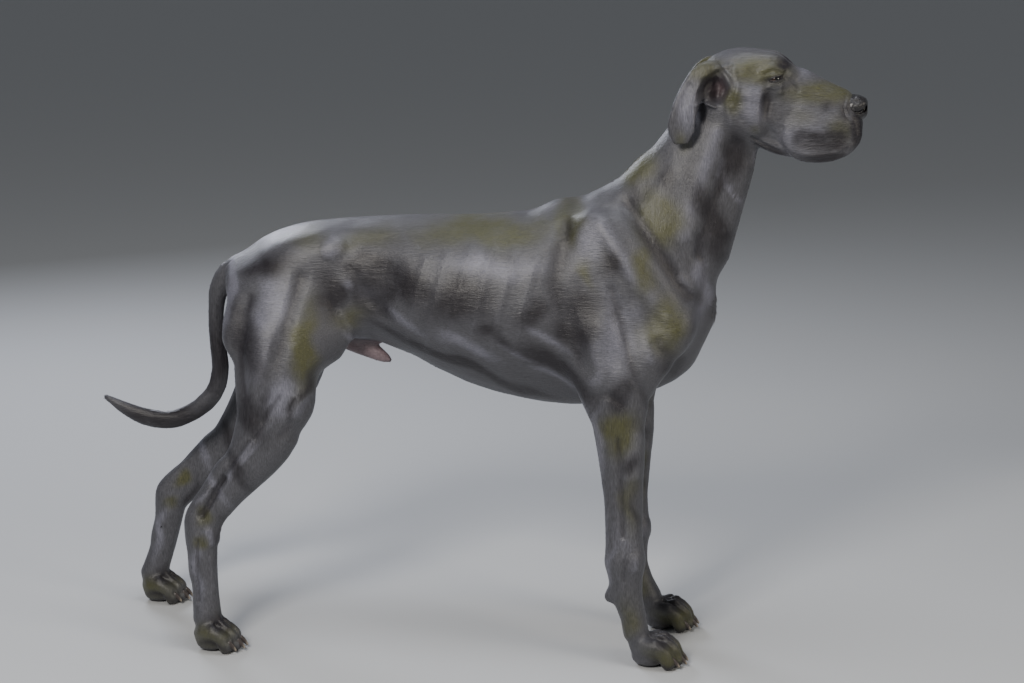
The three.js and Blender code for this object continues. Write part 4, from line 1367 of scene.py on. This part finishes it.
@dataclass
class Tufts:
    """Short solid tufts where the coat breaks the body's form."""

    zones: tuple = TUFT_ZONES
    seed: int = 1899
    light_and_markings: LightAndMarkings = field(default_factory=LightAndMarkings)
    patch: float = 0.003
    eye_clear: float = 27.0
    nose_clear: float = 34.0
    floor_clear: float = 4.0
    sunk: float = 0.5

    def roots(self, skin: bpy.types.Object, rng: np.random.Generator) -> dict[str, np.ndarray]:
        """Choose the places of all tufts on the skin.

        Args:
            skin: the finished skin.
            rng: seeded random numbers.

        Returns:
            Arrays of places, normals, lengths, widths and lifts, one row a tuft.
        """
        polygons = skin.data.polygons
        centres = to_stance(read_values(polygons, "center"))
        normals = read_values(polygons, "normal")
        areas = read_values(polygons, "area", 1)
        eyes = np.minimum(np.linalg.norm(centres - np.array(EYE_STANCE), axis=1),
                          np.linalg.norm(centres - np.array(EYE_STANCE) * (1, -1, 1), axis=1))
        nose = np.linalg.norm(centres - np.array(NOSE_STANCE), axis=1)
        free = (eyes > self.eye_clear) & (nose > self.nose_clear) & (centres[:, 2] > self.floor_clear)
        picked = []
        for zone in self.zones:
            x, y, z = centres[:, 0], np.abs(centres[:, 1]), centres[:, 2]
            inside = free & (x > zone.low[0]) & (x < zone.high[0]) & (z > zone.low[1]) & (z < zone.high[1])
            inside &= (y >= zone.y_low) & (y <= zone.y_high)
            chosen = np.nonzero(inside)[0]
            if not len(chosen):
                log.warning("no skin for tufts in %s", zone.name)
                continue
            weight = areas[chosen]
            take = rng.choice(chosen, size=zone.count, p=weight / weight.sum())
            scale = rng.uniform(0.65, 1.25, zone.count)
            width = np.full(zone.count, zone.width) * rng.uniform(0.8, 1.2, zone.count)
            lift = zone.lift * rng.uniform(0.5, 1.5, zone.count)
            picked.append(np.column_stack([centres[take], normals[take], zone.length * scale, width, lift]))
        rows = np.vstack(picked)
        return {"place": rows[:, :3], "normal": rows[:, 3:6], "length": rows[:, 6], "width": rows[:, 7],
                "lift": rows[:, 8]}

    def unwrap(self, places: np.ndarray) -> np.ndarray:
        """Places on an unwrap of the skin: each part of the body is rolled out in its own strip.

        Args:
            places: stance places of the roots.

        Returns:
            U and V for each root.
        """
        regions = Regions(places)
        x, y, z = places[:, 0], places[:, 1], places[:, 2]
        strip = np.full(len(places), 0)
        for number, mask in enumerate((regions.head() > 0.5, regions.legs() > 0.5, regions.tail() > 0.5), 1):
            strip[mask] = number
        axis_z = np.choose(strip, [700, 1080, 250, 560])
        along = np.where(strip == 2, z / 620, (x + 900) / 1620)
        axis_x = np.where(x > -100, 240, -600) + np.where((y > 0) & (x < -200), -110, 0)
        axis_y = np.where(strip == 2, np.sign(y) * 122, 0)
        angle = np.where(strip == 2, np.arctan2(y - axis_y, x - axis_x), np.arctan2(y, z - axis_z))
        turn = angle / (2 * math.pi) + 0.5
        leg = np.where(strip == 2, (x > -100) * 2 + (y > 0), 0)
        u = np.where(strip == 2, 0.52 + leg * 0.118 + turn * 0.11, 0.01 + strip / 3 * 0.16 + turn * 0.15)
        return np.column_stack([np.clip(u, 0.002, 0.99), np.clip(along, 0, 1) * 0.98 + 0.01])

    def build(self, skin: bpy.types.Object, coat: bpy.types.Material) -> bpy.types.Object:
        """Grow every tuft as a small three-sided blade and join them in one mesh.

        Args:
            skin: the finished skin.
            coat: the coat's material.

        Returns:
            All the tufts in one object.
        """
        rng = np.random.default_rng(self.seed)
        root = self.roots(skin, rng)
        count = len(root["length"])
        lie = hair_lie(root["place"]) + rng.normal(0, 0.12, (count, 3))
        normal = root["normal"]
        lie -= (lie * normal).sum(axis=1, keepdims=True) * normal
        lie /= np.maximum(np.linalg.norm(lie, axis=1, keepdims=True), 1e-9)
        side = np.cross(lie, normal)
        length, width, lift = root["length"][:, None], root["width"][:, None], root["lift"][:, None]
        rings = []
        for share, size in ((0.0, 1.0), (0.5, 0.8)):
            middle = (root["place"] - normal * self.sunk + lie * length * share
                      + normal * (length * lift * share))
            for k in range(3):
                angle = 2 * math.pi * k / 3 + math.pi / 2
                rings.append(middle + side * (width * 0.5 * size * math.cos(angle))
                             + normal * (width * 0.3 * size * math.sin(angle)))
        tip = root["place"] - normal * self.sunk + lie * length + normal * (length * lift * 0.85)
        corners = np.stack(rings + [tip], axis=1)
        base = np.arange(count)[:, None] * TUFT_CORNERS
        faces = np.array([[2, 1, 0], [0, 1, 4], [0, 4, 3], [1, 2, 5], [1, 5, 4], [2, 0, 3], [2, 3, 5],
                          [3, 4, 6], [4, 5, 6], [5, 3, 6]])
        triangles = (base[:, None, :] + faces[None]).reshape(-1, 3)
        mesh = bpy.data.meshes.new("coat_tufts")
        mesh.from_pydata(to_frame(corners.reshape(-1, 3)).tolist(), [], triangles.tolist())
        tufts = bpy.data.objects.new("coat_tufts", mesh)
        bpy.context.scene.collection.objects.link(tufts)
        edit_all(tufts, bpy.ops.mesh.normals_make_consistent, inside=False)
        mark_coat(tufts, np.repeat(self.light_and_markings.at(root["place"]), TUFT_CORNERS, axis=0),
                  np.repeat(np.abs(lie[:, 2]), TUFT_CORNERS))
        spots = self.unwrap(root["place"])
        layer = tufts.data.uv_layers.new(name="OFBake")
        loops = np.empty(len(tufts.data.loops), np.int32)
        tufts.data.loops.foreach_get("vertex_index", loops)
        corner = np.array([(0, 0), (0.4, 0), (0.2, 0.3), (0, 0.5), (0.4, 0.5), (0.2, 0.7), (0.2, 1.0)])
        uv = spots[loops // TUFT_CORNERS] + corner[loops % TUFT_CORNERS] * self.patch
        layer.data.foreach_set("uv", uv.astype(np.float32).ravel())
        dress(tufts, coat)
        return tufts


@dataclass
class Studio:
    """Camera at the photograph's angle, a pale floor and soft lights."""

    azimuth: float = 8.0
    elevation: float = 11.5
    distance: float = 4.42
    focal_pixels: float = 2236.0
    frame_width: float = 1024.0
    target: tuple = (0.0, 0.0, 607.0)
    floor: str = "#b9bbbd"
    backdrop: str = "#c9ccd1"
    backdrop_power: float = 0.28
    sensor_mm: float = 36.0
    floor_size: float = 60.0
    aim: tuple = (0.1, 0.0, 0.7)
    lights: tuple = (("key", (-0.9, -3.6, 2.9), 165, 1.1, "#fffaf2"),
                     ("top", (0.3, -0.2, 3.6), 45, 1.2, "#f4f7ff"),
                     ("front", (3.6, -1.8, 2.0), 55, 1.4, "#fff6e6"),
                     ("rim", (-2.2, 2.8, 2.6), 80, 1.2, "#eef2ff"))

    def camera(self) -> None:
        """Set the camera that the render uses."""
        a, e = math.radians(self.azimuth), math.radians(self.elevation)
        back = Vector((math.sin(a) * math.cos(e), -math.cos(a) * math.cos(e), math.sin(e)))
        data = bpy.data.cameras.new("camera")
        data.sensor_width = self.sensor_mm
        data.lens = self.focal_pixels / self.frame_width * self.sensor_mm
        data.clip_end = 60
        camera = bpy.data.objects.new("camera", data)
        camera.location = Vector(to_frame(np.array(self.target))) + back * self.distance
        camera.rotation_euler = back.to_track_quat("Z", "Y").to_euler()
        bpy.context.scene.collection.objects.link(camera)
        bpy.context.scene.camera = camera

    def light(self, name: str, place: tuple, power: float, size: float, tint: str) -> None:
        """Hang one soft square light.

        Args:
            name: the light's name.
            place: its place in metres.
            power: its power in watts.
            size: its width in metres.
            tint: its colour.
        """
        data = bpy.data.lights.new(name, "AREA")
        data.energy, data.size, data.color = power, size, linear(tint)[:3]
        lamp = bpy.data.objects.new(name, data)
        lamp.location = place
        lamp.rotation_euler = (Vector(place) - Vector(self.aim)).to_track_quat("Z", "Y").to_euler()
        bpy.context.scene.collection.objects.link(lamp)

    def build(self) -> None:
        """Set up the whole studio."""
        self.camera()
        bpy.ops.object.select_all(action="DESELECT")
        bpy.ops.mesh.primitive_plane_add(size=self.floor_size)
        floor = bpy.context.object
        floor.name = "floor"
        material, tree, shader = new_material("matte studio floor")
        shader.inputs["Base Color"].default_value = linear(self.floor)
        shader.inputs["Roughness"].default_value = 0.8
        floor.data.materials.append(material)
        world = bpy.data.worlds.new("studio")
        world.use_nodes = True
        world.node_tree.nodes["Background"].inputs[0].default_value = linear(self.backdrop)
        world.node_tree.nodes["Background"].inputs[1].default_value = self.backdrop_power
        bpy.context.scene.world = world
        for row in self.lights:
            self.light(*row)


def main() -> None:
    """Build the dog and its studio."""
    studio = Studio()
    studio.build()
    coat = ShortCoat().make()
    horn = ClawHorn().make()
    wet = WetEye().make()
    skin = Skin().build(coat)
    Nose().build(NoseLeather().make())
    for side in (-1, 1):
        Eye(side).build(wet)
    for kind, feet, paw in (("foreleg", FORE_FEET, FORE_PAW), ("hindleg", HIND_FEET, HIND_PAW)):
        for foot, side in zip(feet, ("right", "left")):
            Claws(f"{kind}_{side}", foot, paw).build(horn)
    Tufts().build(skin, coat)


if __name__ == "__main__":
    main()
